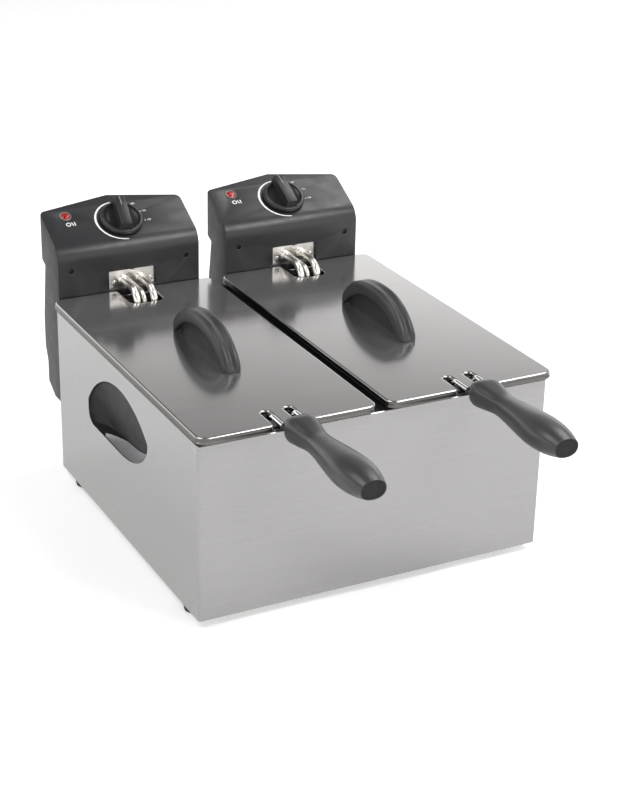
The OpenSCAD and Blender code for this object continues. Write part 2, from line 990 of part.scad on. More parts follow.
housing_shell();
top_deck();
base_plate();
rubber_feet();
foot_screws();
grip_cup(LEFT);  // left_grip_cup
grip_cup(RIGHT);  // right_grip_cup
head_rails();
oil_tank(LEFT);  // left_oil_tank
oil_tank(RIGHT);  // right_oil_tank
head_front_cover(LEFT);  // left_head_front_cover
head_front_cover(RIGHT);  // right_head_front_cover
head_rear_cover(LEFT);  // left_head_rear_cover
head_rear_cover(RIGHT);  // right_head_rear_cover
head_screws(LEFT);  // left_head_screws
head_screws(RIGHT);  // right_head_screws
element_plate(LEFT);  // left_element_plate
element_plate(RIGHT);  // right_element_plate
plate_screws(LEFT);  // left_plate_screws
plate_screws(RIGHT);  // right_plate_screws
heating_element(LEFT);  // left_heating_element
heating_element(RIGHT);  // right_heating_element
sensor_tube(LEFT);  // left_sensor_tube
sensor_tube(RIGHT);  // right_sensor_tube
thermostat(LEFT);  // left_thermostat
thermostat(RIGHT);  // right_thermostat
thermostat_shaft(LEFT);  // left_thermostat_shaft
thermostat_shaft(RIGHT);  // right_thermostat_shaft
control_knob(LEFT);  // left_control_knob
control_knob(RIGHT);  // right_control_knob
pilot_lamp(LEFT);  // left_pilot_lamp
pilot_lamp(RIGHT);  // right_pilot_lamp
thermal_cutout(LEFT);  // left_thermal_cutout
thermal_cutout(RIGHT);  // right_thermal_cutout
reset_button(LEFT);  // left_reset_button
reset_button(RIGHT);  // right_reset_button
interlock_switch(LEFT);  // left_interlock_switch
interlock_switch(RIGHT);  // right_interlock_switch
interlock_plunger(LEFT);  // left_interlock_plunger
interlock_plunger(RIGHT);  // right_interlock_plunger
terminal_block(LEFT);  // left_terminal_block
terminal_block(RIGHT);  // right_terminal_block
cord_gland(LEFT);  // left_cord_gland
cord_gland(RIGHT);  // right_cord_gland
basket_frame(LEFT);  // left_basket_frame
basket_frame(RIGHT);  // right_basket_frame
basket_mesh(LEFT);  // left_basket_mesh
basket_mesh(RIGHT);  // right_basket_mesh
basket_bracket(LEFT);  // left_basket_bracket
basket_bracket(RIGHT);  // right_basket_bracket
handle_wires(LEFT);  // left_handle_wires
handle_wires(RIGHT);  // right_handle_wires
handle_grip(LEFT);  // left_handle_grip
handle_grip(RIGHT);  // right_handle_grip
lid_panel(LEFT);  // left_lid_panel
lid_panel(RIGHT);  // right_lid_panel
lid_handle(LEFT);  // left_lid_handle
lid_handle(RIGHT);  // right_lid_handle
lid_screws(LEFT);  // left_lid_screws
lid_screws(RIGHT);  // right_lid_screws
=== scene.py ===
import json
import math

import bmesh
import bpy
from mathutils import Matrix, Vector


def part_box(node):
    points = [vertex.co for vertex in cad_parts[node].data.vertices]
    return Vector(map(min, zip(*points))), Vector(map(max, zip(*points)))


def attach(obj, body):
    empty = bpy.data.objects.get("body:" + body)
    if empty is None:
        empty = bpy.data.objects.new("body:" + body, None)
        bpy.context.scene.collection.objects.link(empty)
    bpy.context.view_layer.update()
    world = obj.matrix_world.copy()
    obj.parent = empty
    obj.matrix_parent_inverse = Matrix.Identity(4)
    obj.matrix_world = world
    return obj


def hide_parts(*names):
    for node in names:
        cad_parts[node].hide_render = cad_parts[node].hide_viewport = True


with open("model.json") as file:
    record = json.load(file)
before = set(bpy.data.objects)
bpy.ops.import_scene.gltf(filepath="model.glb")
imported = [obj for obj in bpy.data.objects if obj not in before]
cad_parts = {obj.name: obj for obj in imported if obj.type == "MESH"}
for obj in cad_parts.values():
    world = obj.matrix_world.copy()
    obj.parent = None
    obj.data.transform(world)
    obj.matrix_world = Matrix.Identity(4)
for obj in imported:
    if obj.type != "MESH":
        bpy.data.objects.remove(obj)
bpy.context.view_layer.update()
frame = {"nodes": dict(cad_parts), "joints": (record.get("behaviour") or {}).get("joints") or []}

SIDES = ("left", "right")
X_AXIS = Vector((1, 0, 0))
Y_AXIS = Vector((0, 1, 0))
Z_AXIS = Vector((0, 0, 1))


# ------------------------------------------------------------------ mesh tools

def add_object(name, data):
    """An object with the given data, in the scene."""
    obj = bpy.data.objects.new(name, data)
    bpy.context.scene.collection.objects.link(obj)
    return obj


def from_bmesh(name, bm):
    """Turns a bmesh into an object with all faces turned outwards."""
    bmesh.ops.remove_doubles(bm, verts=bm.verts, dist=1e-6)
    bmesh.ops.recalc_face_normals(bm, faces=bm.faces)
    mesh = bpy.data.meshes.new(name)
    bm.to_mesh(mesh)
    bm.free()
    return add_object(name, mesh)


def ring_faces(bm, rings, closed=True):
    """Joins rings of vertices, one after another, with quads."""
    count = len(rings[0])
    last = count if closed else count - 1
    for low, high in zip(rings, rings[1:]):
        for i in range(last):
            j = (i + 1) % count
            bm.faces.new((low[i], low[j], high[j], high[i]))


def new_rings(bm, loops):
    """The vertices of closed loops of points."""
    return [[bm.verts.new(p) for p in loop] for loop in loops]


def skin(bm, loops):
    """A skin over closed loops of points, with flat ends."""
    rings = new_rings(bm, loops)
    ring_faces(bm, rings)
    bm.faces.new(list(reversed(rings[0])))
    bm.faces.new(rings[-1])


def loft(name, loops):
    """A solid skinned over closed loops of points."""
    bm = bmesh.new()
    skin(bm, loops)
    return from_bmesh(name, bm)


def shell_loft(name, loops):
    """A skin over closed loops that ends where it began, so that it has a hole through it."""
    bm = bmesh.new()
    rings = new_rings(bm, loops)
    ring_faces(bm, rings + rings[:1])
    return from_bmesh(name, bm)


def sheet_loft(name, outer, inner):
    """A pressed sheet: the outer skin runs from its rim to a flat face, the inner one from that face back."""
    bm = bmesh.new()
    rings = new_rings(bm, outer + inner)
    turn = len(outer)
    ring_faces(bm, rings[:turn])
    bm.faces.new(rings[turn - 1])
    ring_faces(bm, rings[turn:])
    bm.faces.new(list(reversed(rings[turn])))
    ring_faces(bm, [rings[-1], rings[0]])
    return from_bmesh(name, bm)


def prism(name, outline, low, high, place):
    """An outline given thickness from low to high; place turns (a, b, thickness) into a point."""
    return loft(name, [[place(a, b, low) for a, b in outline], [place(a, b, high) for a, b in outline]])


def across(a, b, t):
    """Outline in Y and Z, thickness along X."""
    return Vector((t, a, b))


def upward(a, b, t):
    """Outline in X and Y, thickness along Z."""
    return Vector((a, b, t))


def frontward(a, b, t):
    """Outline in X and Z, thickness along Y."""
    return Vector((a, t, b))


def spread(low, high, count):
    """Evenly spaced values from low to high, one more than the count."""
    return [low + (high - low) * k / count for k in range(count + 1)]


def quarter(steps):
    """A quarter turn of radius 1, as (1 - cosine, sine) from 0 to 90 degrees."""
    return [(1 - math.cos(a), math.sin(a)) for a in map(math.radians, spread(0, 90, steps))]


def circle(radius, sides):
    """Points round the origin, anticlockwise from X."""
    return [
        (radius * math.cos(a), radius * math.sin(a))
        for a in (2 * math.pi * k / sides for k in range(sides))
    ]


def to_back(x, y, z):
    """Matrix of a place whose Z axis points to the back."""
    return Matrix.Translation((x, y, z)) @ Matrix.Rotation(-math.pi / 2, 4, "X")


def to_front(x, y, z):
    """Matrix of a place whose Z axis points to the front."""
    return Matrix.Translation((x, y, z)) @ Matrix.Rotation(math.pi / 2, 4, "X")


def tube(name, path, radius, sides=20):
    """A round bar along a path of points, with flat ends."""
    points = [Vector(p) for p in path]
    tangents = []
    for i in range(len(points)):
        before = points[max(i - 1, 0)]
        after = points[min(i + 1, len(points) - 1)]
        tangents.append((after - before).normalized())
    start = Z_AXIS if abs(tangents[0].z) < 0.9 else X_AXIS
    normal = tangents[0].cross(start).normalized()
    loops = []
    for point, tangent in zip(points, tangents):
        normal = (normal - tangent * normal.dot(tangent)).normalized()
        side = tangent.cross(normal)
        loops.append([point + (normal * c + side * s) * radius for c, s in circle(1, sides)])
    return loft(name, loops)


def bent_path(corners, radii, steps=8):
    """A path through corner points, each turned on an arc: one radius for all, or one for each."""
    points = [Vector(c) for c in corners]
    if not isinstance(radii, list):
        radii = [radii] * (len(points) - 2)
    path = [points[0]]
    for before, here, after, radius in zip(points, points[1:], points[2:], radii):
        a = (before - here).normalized()
        b = (after - here).normalized()
        half = a.angle(b) / 2
        reach = radius / math.tan(half)
        centre = here + (a + b).normalized() * (radius / math.sin(half))
        start = here + a * reach - centre
        end = here + b * reach - centre
        turn = start.angle(end)
        for k in range(steps + 1):
            t = k / steps
            from_start, from_end = math.sin((1 - t) * turn), math.sin(t * turn)
            path.append(centre + (start * from_start + end * from_end) / math.sin(turn))
    path.append(points[-1])
    return path


def lathe(name, profile, sides=64, place=None):
    """A solid turned about Z from (radius, height) points; place is a matrix that moves it."""
    bm = bmesh.new()
    rings = []
    for radius, height in profile:
        plan = circle(radius, sides) if radius > 1e-7 else [(0, 0)]
        rings.append([bm.verts.new((x, y, height)) for x, y in plan])
    for low, high in zip(rings, rings[1:]):
        for i in range(sides):
            j = (i + 1) % sides
            if len(low) == 1:
                bm.faces.new((low[0], high[j], high[i]))
            elif len(high) == 1:
                bm.faces.new((low[i], low[j], high[0]))
            else:
                bm.faces.new((low[i], low[j], high[j], high[i]))
    if len(rings[0]) > 1:
        bm.faces.new(list(reversed(rings[0])))
    if len(rings[-1]) > 1:
        bm.faces.new(rings[-1])
    obj = from_bmesh(name, bm)
    if place is not None:
        obj.data.transform(place)
    return obj


def rod(name, radius, length, sides, place):
    """A straight round cutter from a place along its Z axis."""
    return lathe(name, [(radius, 0.0), (radius, length)], sides, place)


def turned_ring(name, profile, sides, place):
    """A ring turned about Z from a closed (radius, height) profile, moved by a matrix."""
    ring = shell_loft(name, [at_height(circle(radius, sides), height) for radius, height in profile])
    ring.data.transform(place)
    return ring


def filleted(corners, step=math.radians(9)):
    """A closed outline through corners (x, y, radius), each turned by an arc."""
    out = []
    count = len(corners)
    for i, (x, y, radius) in enumerate(corners):
        here = Vector((x, y))
        a = (Vector(corners[i - 1][:2]) - here).normalized()
        b = (Vector(corners[(i + 1) % count][:2]) - here).normalized()
        half = math.acos(max(-1.0, min(1.0, a.dot(b)))) / 2
        reach = radius / math.tan(half)
        centre = here + (a + b).normalized() * (radius / math.sin(half))
        start = here + a * reach - centre
        end = here + b * reach - centre
        turn = math.atan2(start.x * end.y - start.y * end.x, start.dot(end))
        steps = max(2, round(abs(turn) / step))
        for k in range(steps + 1):
            c, s = math.cos(turn * k / steps), math.sin(turn * k / steps)
            out.append((centre.x + start.x * c - start.y * s, centre.y + start.x * s + start.y * c))
    return [p for p, q in zip(out, out[-1:] + out[:-1]) if math.dist(p, q) > 1e-6]


def inset(outline, distance):
    """The outline moved inwards by a distance; it runs anticlockwise."""
    out = []
    count = len(outline)
    for i, (x, y) in enumerate(outline):
        ax, ay = outline[i - 1]
        bx, by = outline[(i + 1) % count]
        d0 = Vector((x - ax, y - ay)).normalized()
        d1 = Vector((bx - x, by - y)).normalized()
        n0, n1 = Vector((-d0.y, d0.x)), Vector((-d1.y, d1.x))
        mitre = (n0 + n1) / (1 + n0.dot(n1))
        out.append((x + mitre.x * distance, y + mitre.y * distance))
    return out


def rounded_rect(x0, x1, y0, y1, radius):
    """A rectangle's outline with round corners, anticlockwise."""
    return filleted([(x0, y0, radius), (x1, y0, radius), (x1, y1, radius), (x0, y1, radius)])


def rect(x0, x1, y0, y1):
    return [(x0, y0), (x1, y0), (x1, y1), (x0, y1)]


def at_height(outline, z):
    """A level outline as points in space."""
    return [Vector((x, y, z)) for x, y in outline]


def apply_modifiers(obj):
    """Bakes the object's modifiers into its mesh."""
    graph = bpy.context.evaluated_depsgraph_get()
    mesh = bpy.data.meshes.new_from_object(obj.evaluated_get(graph))
    obj.modifiers.clear()
    old = obj.data
    obj.data = mesh
    bpy.data.meshes.remove(old)


def cut(obj, *cutters, operation="DIFFERENCE"):
    """Cuts solids out of an object, and deletes them."""
    for cutter in cutters:
        modifier = obj.modifiers.new("cut", "BOOLEAN")
        modifier.operation = operation
        modifier.solver = "EXACT"
        modifier.object = cutter
        bpy.context.view_layer.update()
        apply_modifiers(obj)
        bpy.data.objects.remove(cutter)


def soften(obj, width, segments=3, angle=30):
    """Rounds the edges that are sharper than an angle."""
    modifier = obj.modifiers.new("soften", "BEVEL")
    modifier.width = width
    modifier.segments = segments
    modifier.limit_method = "ANGLE"
    modifier.angle_limit = math.radians(angle)
    bpy.context.view_layer.update()
    apply_modifiers(obj)


def join(name, objects):
    """One object from several, at the origin of the frame."""
    bm = bmesh.new()
    for obj in objects:
        bm.from_mesh(obj.data)
        bpy.data.objects.remove(obj)
    mesh = bpy.data.meshes.new(name)
    bm.to_mesh(mesh)
    bm.free()
    return add_object(name, mesh)


def mapped(value, table):
    """Smooth interpolation in a table of (position, value) pairs."""
    if value <= table[0][0]:
        return table[0][1]
    for (a, va), (b, vb) in zip(table, table[1:]):
        if value <= b:
            t = (value - a) / (b - a)
            t = t * t * (3 - 2 * t)
            return va + (vb - va) * t
    return table[-1][1]


def curve(table, t):
    """Catmull-Rom interpolation in a table of (position, value) pairs."""
    if t <= table[0][0]:
        return table[0][1]
    for i in range(len(table) - 1):
        a, b = table[i], table[i + 1]
        if t <= b[0]:
            before = table[max(i - 1, 0)]
            after = table[min(i + 2, len(table) - 1)]
            span = b[0] - a[0]
            u = (t - a[0]) / span
            m0 = (b[1] - before[1]) / (b[0] - before[0]) * span
            m1 = (after[1] - a[1]) / (after[0] - a[0]) * span
            u2, u3 = u * u, u * u * u
            from_a, from_b = (2 * u3 - 3 * u2 + 1) * a[1], (3 * u2 - 2 * u3) * b[1]
            return from_a + (u3 - 2 * u2 + u) * m0 + from_b + (u3 - u2) * m1
    return table[-1][1]


# ------------------------------------------------------------------ materials

def feed(node, **inputs):
    """Sets a shader node's inputs to values, or links them to another node's outputs."""
    for name, value in inputs.items():
        socket = node.inputs[name.replace("_", " ")]
        if isinstance(value, bpy.types.NodeSocket):
            node.id_data.links.new(value, socket)
        else:
            socket.default_value = value


def new_node(tree, kind, **inputs):
    """A shader node of a kind, with its inputs fed."""
    node = tree.nodes.new(f"ShaderNode{kind}")
    feed(node, **inputs)
    return node


class Surface:
    """A procedural material: one Principled shader with noise for colour, roughness and relief."""

    def __init__(self, name, color, roughness, **sockets):
        self.material = bpy.data.materials.new(name)
        self.material.use_nodes = True
        self.tree = self.material.node_tree
        self.shader = self.tree.nodes["Principled BSDF"]
        self.coords = new_node(self.tree, "TexCoord").outputs["Object"]
        self.height = None
        self.color = color
        feed(self.shader, Base_Color=(*color, 1), Roughness=roughness, **sockets)

    def noise(self, scale, detail=3.0, stretch=(1, 1, 1)):
        """Noise of a given scale per metre; a small factor in stretch draws it out along that axis."""
        place = new_node(self.tree, "Mapping", Vector=self.coords, Scale=stretch).outputs["Vector"]
        return new_node(self.tree, "TexNoise", Vector=place, Scale=scale, Detail=detail).outputs["Fac"]

    def cells(self, scale):
        """Distance to the middle of the nearest of a scatter of points."""
        return new_node(self.tree, "TexVoronoi", Vector=self.coords, Scale=scale).outputs["Distance"]

    def ranged(self, value, low, high, from_low=0.3, from_high=0.7):
        """A value moved from one range to another."""
        node = new_node(self.tree, "MapRange", Value=value)
        feed(node, From_Min=from_low, From_Max=from_high, To_Min=low, To_Max=high)
        return node.outputs["Result"]

    def blend(self, value, first, second):
        """Base colour that runs from one colour to another as a value goes from 0 to 1."""
        mix = new_node(self.tree, "Mix")
        mix.data_type = "RGBA"
        feed(mix, Factor=value, A=(*first, 1), B=(*second, 1))
        feed(self.shader, Base_Color=mix.outputs["Result"])

    def tint(self, value, dark, light):
        """Base colour that runs between two multiples of the material's own colour."""
        first, second = ([min(c * part, 1) for c in self.color] for part in (dark, light))
        self.blend(self.ranged(value, 0, 1), first, second)

    def gloss(self, value, low, high):
        """Roughness that wanders between two values."""
        feed(self.shader, Roughness=self.ranged(value, low, high))

    def relief(self, value, strength, distance):
        """Adds a bump on top of those that are there already."""
        bump = new_node(self.tree, "Bump", Height=value, Strength=strength, Distance=distance)
        if self.height is not None:
            feed(bump, Normal=self.height)
        self.height = bump.outputs["Normal"]
        feed(self.shader, Normal=self.height)


def brushed_steel(name, color, roughness, stretch, wave=0.0002, metallic=1.0):
    """Sheet steel with a fine straight grain and a slight unevenness."""
    surface = Surface(name, color, roughness, Metallic=metallic)
    grain = surface.noise(2600, 2, stretch)
    surface.tint(surface.noise(1400, 2, stretch), 0.975, 1.025)
    surface.gloss(grain, roughness - 0.03, roughness + 0.04)
    surface.relief(surface.noise(5, 1), 0.25, wave)
    surface.relief(grain, 0.04, 0.00001)
    return surface.material


def moulded_plastic(name, color, roughness, ior=1.5):
    """Moulded plastic with a fine spark-eroded texture and slight handling marks."""
    surface = Surface(name, color, roughness, IOR=ior)
    surface.tint(surface.noise(45, 3), 0.93, 1.08)
    surface.gloss(surface.noise(70, 5), roughness - 0.05, roughness + 0.05)
    surface.relief(surface.noise(1800, 2), 0.25, 0.00003)
    return surface.material


def bright_metal(name, color, roughness, wear=0.05, relief=0.03):
    """Plain or plated metal: wear is how far its roughness wanders."""
    surface = Surface(name, color, roughness, Metallic=1.0)
    surface.tint(surface.noise(60, 3), 0.94, 1.04)
    surface.gloss(surface.noise(130, 5), max(0.03, roughness - wear), roughness + wear)
    surface.relief(surface.noise(400, 2), relief, 0.00002)
    return surface.material


def plain_coating(name, color, roughness, scale, strength, depth, metallic=0.0):
    """Paint, rubber, ink or ceramic: one noise scale for its tone, gloss and relief."""
    surface = Surface(name, color, roughness, Metallic=metallic)
    surface.tint(surface.noise(scale, 4), 0.88, 1.12)
    surface.gloss(surface.noise(scale * 2, 3), roughness - 0.06, roughness + 0.08)
    surface.relief(surface.noise(scale * 6, 3), strength, depth)
    return surface.material


def enamel(name):
    """Black vitreous enamel with pale specks."""
    black, fleck = (0.026, 0.026, 0.028), (0.42, 0.42, 0.41)
    surface = Surface(name, black, 0.25, IOR=1.55)
    surface.blend(surface.ranged(surface.cells(420), 0, 1, 0.12, 0.2), fleck, black)
    surface.gloss(surface.noise(40, 3), 0.18, 0.32)
    surface.relief(surface.noise(90, 3), 0.12, 0.0003)
    return surface.material


def red_lens(name):
    """A dark red lens, mottled by the cells moulded into it."""
    surface = Surface(name, (0.30, 0.010, 0.010), 0.2, IOR=1.49)
    surface.tint(surface.noise(520, 2), 0.25, 1.7)
    surface.gloss(surface.noise(320, 3), 0.10, 0.24)
    surface.relief(surface.cells(420), 0.5, 0.0006)
    return surface.material


ACROSS_FLAT = (0.004, 1, 1)
AROUND_WALL = (0.004, 0.004, 1)
MATERIALS = {
    name: make(name, *numbers)
    for make, name, *numbers in (
        (brushed_steel, "housing_steel", (0.320, 0.315, 0.313), 0.24, AROUND_WALL, 0.0002, 0.75),
        (brushed_steel, "lid_steel", (0.45, 0.440, 0.435), 0.14, ACROSS_FLAT, 0.0001, 0.88),
        (bright_metal, "lid_rim", (0.42, 0.41, 0.40), 0.19, 0.03),
        # A dark copy of the rim's metal: a painted dark reflection on the rim's front and side faces.
        (bright_metal, "lid_skirt", (0.13, 0.125, 0.12), 0.24, 0.03),
        (plain_coating, "deck_steel", (0.035, 0.034, 0.034), 0.38, 80, 0.1, 0.0001, 0.4),
        (bright_metal, "base_steel", (0.48, 0.48, 0.47), 0.38),
        (plain_coating, "rubber", (0.018, 0.018, 0.018), 0.72, 120, 0.3, 0.0002),
        (bright_metal, "screw_steel", (0.58, 0.57, 0.55), 0.3),
        (bright_metal, "screw_dark", (0.05, 0.05, 0.05), 0.42),
        (moulded_plastic, "cup_plastic", (0.020, 0.020, 0.021), 0.48, 1.3),
        # A pale copy of the scoop's plastic: a painted highlight on the ledge at the foot of the scoop.
        (moulded_plastic, "cup_sill", (0.24, 0.24, 0.248), 0.40),
        # A darker copy of the lid handle's plastic: painted shade in the finger recesses.
        (moulded_plastic, "handle_recess", (0.010, 0.010, 0.0105), 0.55),
        # The bezel's pale warm grey is partly its own colour and partly a painted highlight round the lens.
        (moulded_plastic, "lamp_bezel", (0.16, 0.13, 0.12), 0.35),
        (enamel, "tank_enamel"),
        (moulded_plastic, "head_plastic", (0.0145, 0.0140, 0.0160), 0.38),
        (moulded_plastic, "rear_plastic", (0.014, 0.0138, 0.0148), 0.52),
        (bright_metal, "plate_steel", (0.80, 0.77, 0.73), 0.30, 0.05),
        (bright_metal, "element_steel", (0.80, 0.775, 0.73), 0.30, 0.03, 0.01),
        (bright_metal, "brass_part", (0.62, 0.44, 0.2), 0.35),
        (moulded_plastic, "knob_plastic", (0.014, 0.014, 0.015), 0.36),
        (red_lens, "lamp_red"),
        (plain_coating, "ceramic_part", (0.72, 0.69, 0.62), 0.6, 90, 0.2, 0.0002),
        (plain_coating, "button_red", (0.42, 0.02, 0.015), 0.3, 150, 0.08, 0.0001),
        (moulded_plastic, "switch_plastic", (0.03, 0.03, 0.03), 0.45),
        (bright_metal, "plated_wire", (0.82, 0.82, 0.81), 0.10, 0.03),
        (moulded_plastic, "grip_plastic", (0.030, 0.030, 0.031), 0.33),
        (moulded_plastic, "grip_end", (0.003, 0.003, 0.003), 0.75),
        (moulded_plastic, "lid_handle_plastic", (0.023, 0.023, 0.0245), 0.44),
        (plain_coating, "ink", (0.82, 0.82, 0.81), 0.5, 200, 0.05, 0.00005),
        (plain_coating, "pointer_ink", (0.30, 0.30, 0.30), 0.5, 200, 0.05, 0.00005),
    )
}


def paint(mesh, *names):
    """Gives a mesh its materials, by name and in order."""
    for name in names:
        mesh.materials.append(MATERIALS[name])


def flat_faces(obj):
    """Keeps a large flat face flat in its shading, next to the small round of its edges."""
    even = obj.modifiers.new("flat_faces", "WEIGHTED_NORMAL")
    even.keep_sharp = True
    even.weight = 100


def finish_piece(obj, body, slot, replaced=(), material=None, angle=35):
    """Shades a piece, gives it its material, named by the slot unless another is given, ties it to its body
    and hides the CAD nodes it replaces.
    """
    obj.data.shade_smooth()
    obj.data.set_sharp_from_angle(angle=math.radians(angle))
    if not obj.data.materials:
        obj.data.materials.append(MATERIALS[material or slot])
    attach(obj, body)
    if replaced:
        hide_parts(*replaced)


def carry_over(node, slot):
    """Keeps a CAD node as it is, with a procedural material."""
    obj = frame["nodes"][node]
    if not obj.material_slots:
        obj.data.materials.append(MATERIALS[slot])
    for material_slot in obj.material_slots:
        material_slot.link = "OBJECT"
        material_slot.material = MATERIALS[slot]


# ------------------------------------------------------------------ places, taken from the frame

shell_lo, shell_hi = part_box("housing_shell")
deck_lo, deck_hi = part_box("top_deck")
DECK_Z = shell_hi.z
WIRE_R = 0.00225
TANK_FLANGE = 0.0042
TANK_CORNER = 0.024
JOINTS = {joint["name"]: joint for joint in frame["joints"]}
KNOB_AXIS = JOINTS["left_knob_turn"]["axis"]
PANEL_SLOPE = math.atan2(-KNOB_AXIS[1], KNOB_AXIS[2])


class Unit:
    """The places of one frying unit."""

    def __init__(self, side):
        self.side = side
        self.lid_lo, self.lid_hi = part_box(f"{side}_lid_panel")
        self.x = (self.lid_lo.x + self.lid_hi.x) / 2
        self.front_lo, self.front_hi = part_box(f"{side}_head_front_cover")
        self.head_x = (self.front_lo.x + self.front_hi.x) / 2
        self.head_half = (self.front_hi.x - self.front_lo.x) / 2
        self.head_y = self.front_lo.y
        self.wire_lo, self.wire_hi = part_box(f"{side}_handle_wires")
        self.wire_x = (self.wire_hi.x - self.wire_lo.x) / 2 - WIRE_R
        self.wire_z = self.wire_hi.z - WIRE_R
        self.grip_lo, self.grip_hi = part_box(f"{side}_handle_grip")

    def node(self, name):
        return f"{self.side}_{name}"

    def box(self, name):
        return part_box(self.node(name))

    def middle(self, name):
        lo, hi = self.box(name)
        return (lo + hi) / 2

    def finish(self, obj, body, slot, *replaced, **look):
        """Finishes one of the unit's pieces; the body and the CAD nodes are named without their side."""
        finish_piece(obj, self.node(body), slot, [self.node(name) for name in replaced], **look)

    def handle_pivot(self):
        return Vector(JOINTS[self.node("handle_fold")]["pos_m"])


# ------------------------------------------------------------------ housing

CUP_WALL = 0.002
CUP_FRONT = (0.073, 0.040)
CUP_BACK_R = 0.014
CUP_ARCH_R = 0.107
CUP_APEX = 0.075


def cup_outline(grow=0.0, steps=10):
    """The grip opening in Y and Z, anticlockwise from its front: a long round corner in front, a small one
    behind, and an arch that is fuller towards the front."""
    lo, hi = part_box("left_grip_cup")
    y0, y1 = lo.y + CUP_WALL - grow, hi.y - CUP_WALL + grow
    z0 = lo.z + CUP_WALL - grow
    long, tall = CUP_FRONT[0] + grow, CUP_FRONT[1] + grow
    back_r, arch_r = CUP_BACK_R + grow, CUP_ARCH_R + grow
    apex_y = lo.y + CUP_WALL + CUP_APEX
    arch_z = hi.z - CUP_WALL - CUP_ARCH_R

    def arc(cy, cz, ry, rz, start, end, count):
        return [(cy + ry * math.cos(a), cz + rz * math.sin(a)) for a in spread(start, end, count)]

    front_z = arch_z + math.sqrt(arch_r ** 2 - (y0 - apex_y) ** 2)
    back_z = arch_z + math.sqrt(arch_r ** 2 - (y1 - apex_y) ** 2)
    arch_start = math.atan2(back_z - arch_z, y1 - apex_y)
    arch_end = math.atan2(front_z - arch_z, y0 - apex_y)
    points = arc(y0 + long, z0 + tall, long, tall, math.pi, 1.5 * math.pi, steps * 3)
    points += arc(y1 - back_r, z0 + back_r, back_r, back_r, 1.5 * math.pi, 2 * math.pi, steps)
    points += arc(apex_y, arch_z, arch_r, arch_r, arch_start, arch_end, steps * 5)
    return [p for p, q in zip(points, points[-1:] + points[:-1]) if math.dist(p, q) > 1e-6]


def grip_sill(side, wall_x, inward, depth):
    """The ledge at the foot of the scoop, in a pale copy of the scoop's plastic that is a painted highlight:
    it starts behind as a point and widens to the front.
    """
    taper, thickness, rise = 0.030, 0.0008, 0.0075
    back_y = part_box("left_grip_cup")[0].y + 0.120
    front_corner = cup_outline()[:31]
    foot = [p for p in front_corner if p[0] < back_y - 0.004]
    foot += [(back_y - (back_y - foot[-1][0]) * k / 8, foot[-1][1]) for k in range(7, -1, -1)]
    top, low = [], []
    for y, z in foot:
        reach = depth * min(1.0, (back_y - y) / taper) ** 0.7
        reach = max(reach, 0.0002) * min(1.0, max(0.12, (y - foot[0][0]) / 0.006))
        lift = rise * max(0.3, (back_y - y) / (back_y - foot[0][0])) ** 0.7
        lane = [
            Vector((wall_x + inward * (0.0014 + reach * part), y, z + 0.0004 + lift * part ** 2))
            for part in spread(0, 1, 8)
        ]
        top.append(lane)
        low.append([p - Z_AXIS * thickness for p in reversed(lane)])
    return loft(f"{side}_grip_ledge_painted_highlight", [a + b for a, b in zip(top, low)])


def housing():
    """Four walls of thin sheet with rounded corners and edges, and a grip opening in each side."""
    wall, lip, corner = 0.001, 0.0006, 0.0035
    outline = rounded_rect(shell_lo.x, shell_hi.x, shell_lo.y, shell_hi.y, corner)
    inner = inset(outline, wall)
    top, low = shell_hi.z, shell_lo.z
    loops = [
        at_height(inset(outline, wall - lip / 2), low),
        at_height(inset(outline, lip), low),
        at_height(outline, low + lip),
        at_height(outline, top - lip),
        at_height(inset(outline, lip), top),
        at_height(inner, top),
        at_height(inner, low),
    ]
    shell = shell_loft("housing_shell_sheet", loops)
    opening = cup_outline()
    reach = 0.01
    for name, wall_x in (("left", shell_lo.x), ("right", shell_hi.x)):
        cut(shell, prism(f"{name}_opening", opening, wall_x - reach, wall_x + reach, across))
    soften(shell, 0.00035, 2, 50)
    flat_faces(shell)
    finish_piece(shell, "housing", "housing_steel", ["housing_shell"])


def grip_cup(side, wall_x, inward):
    """A scoop behind the opening: it leans back and closes towards a flat floor."""
    opening = cup_outline()
    lo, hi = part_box(f"{side}_grip_cup")
    depth = hi.x - lo.x - 0.0022
    floor = min(z for _, z in opening)
    middle = (lo.y + hi.y) / 2 + 0.006
    flange = 0.0016
    start = wall_x + inward * 0.0012
    outer = [[Vector((x, y, z)) for y, z in cup_outline(flange)] for x in (start + inward * flange, start)]
    for t in spread(0, 1, 14):
        scale = math.sqrt(1 - (0.97 * t) ** 2)
        x = start + inward * depth * t
        outer.append([
            Vector((x, middle + (y - middle) * (0.45 + 0.55 * scale), floor + (z - floor) * scale))
            for y, z in opening
        ])
    skin_t = 0.0014
    behind = Vector((inward * skin_t * 0.4, 0, 0))
    inner = []
    for loop in reversed(outer[2:]):
        pushed = []
        for p in loop:
            away = Vector((0, p.y - middle, p.z - floor)).normalized() if p.z - floor >= 0.0005 else -Z_AXIS
            pushed.append(p + away * skin_t + behind)
        inner.append(pushed)
    cup = sheet_loft(f"{side}_grip_scoop", outer, inner)
    finish_piece(cup, "housing", "cup_plastic", [f"{side}_grip_cup"], angle=50)
    # The ledge takes the pale copy of the scoop's plastic, a painted highlight.
    finish_piece(grip_sill(side, wall_x, inward, depth * 0.93), "housing", "cup_plastic", material="cup_sill")


def deck():
    """The dark plate inside the wall's top edge, with an opening for each tank."""
    outline = rounded_rect(deck_lo.x, deck_hi.x, deck_lo.y, deck_hi.y, 0.002)
    plate = prism("deck_plate", outline, deck_lo.z, deck_hi.z, upward)
    rim = TANK_FLANGE - 0.0003
    for unit in units:
        lo, hi = unit.box("oil_tank")
        opening = rounded_rect(lo.x + rim, hi.x - rim, lo.y + rim, hi.y - rim, TANK_CORNER)
        cut(plate, prism("deck_opening", opening, deck_lo.z - 0.01, deck_hi.z + 0.01, upward))
    soften(plate, 0.0004, 2)
    finish_piece(plate, "housing", "deck_steel", ["top_deck"])


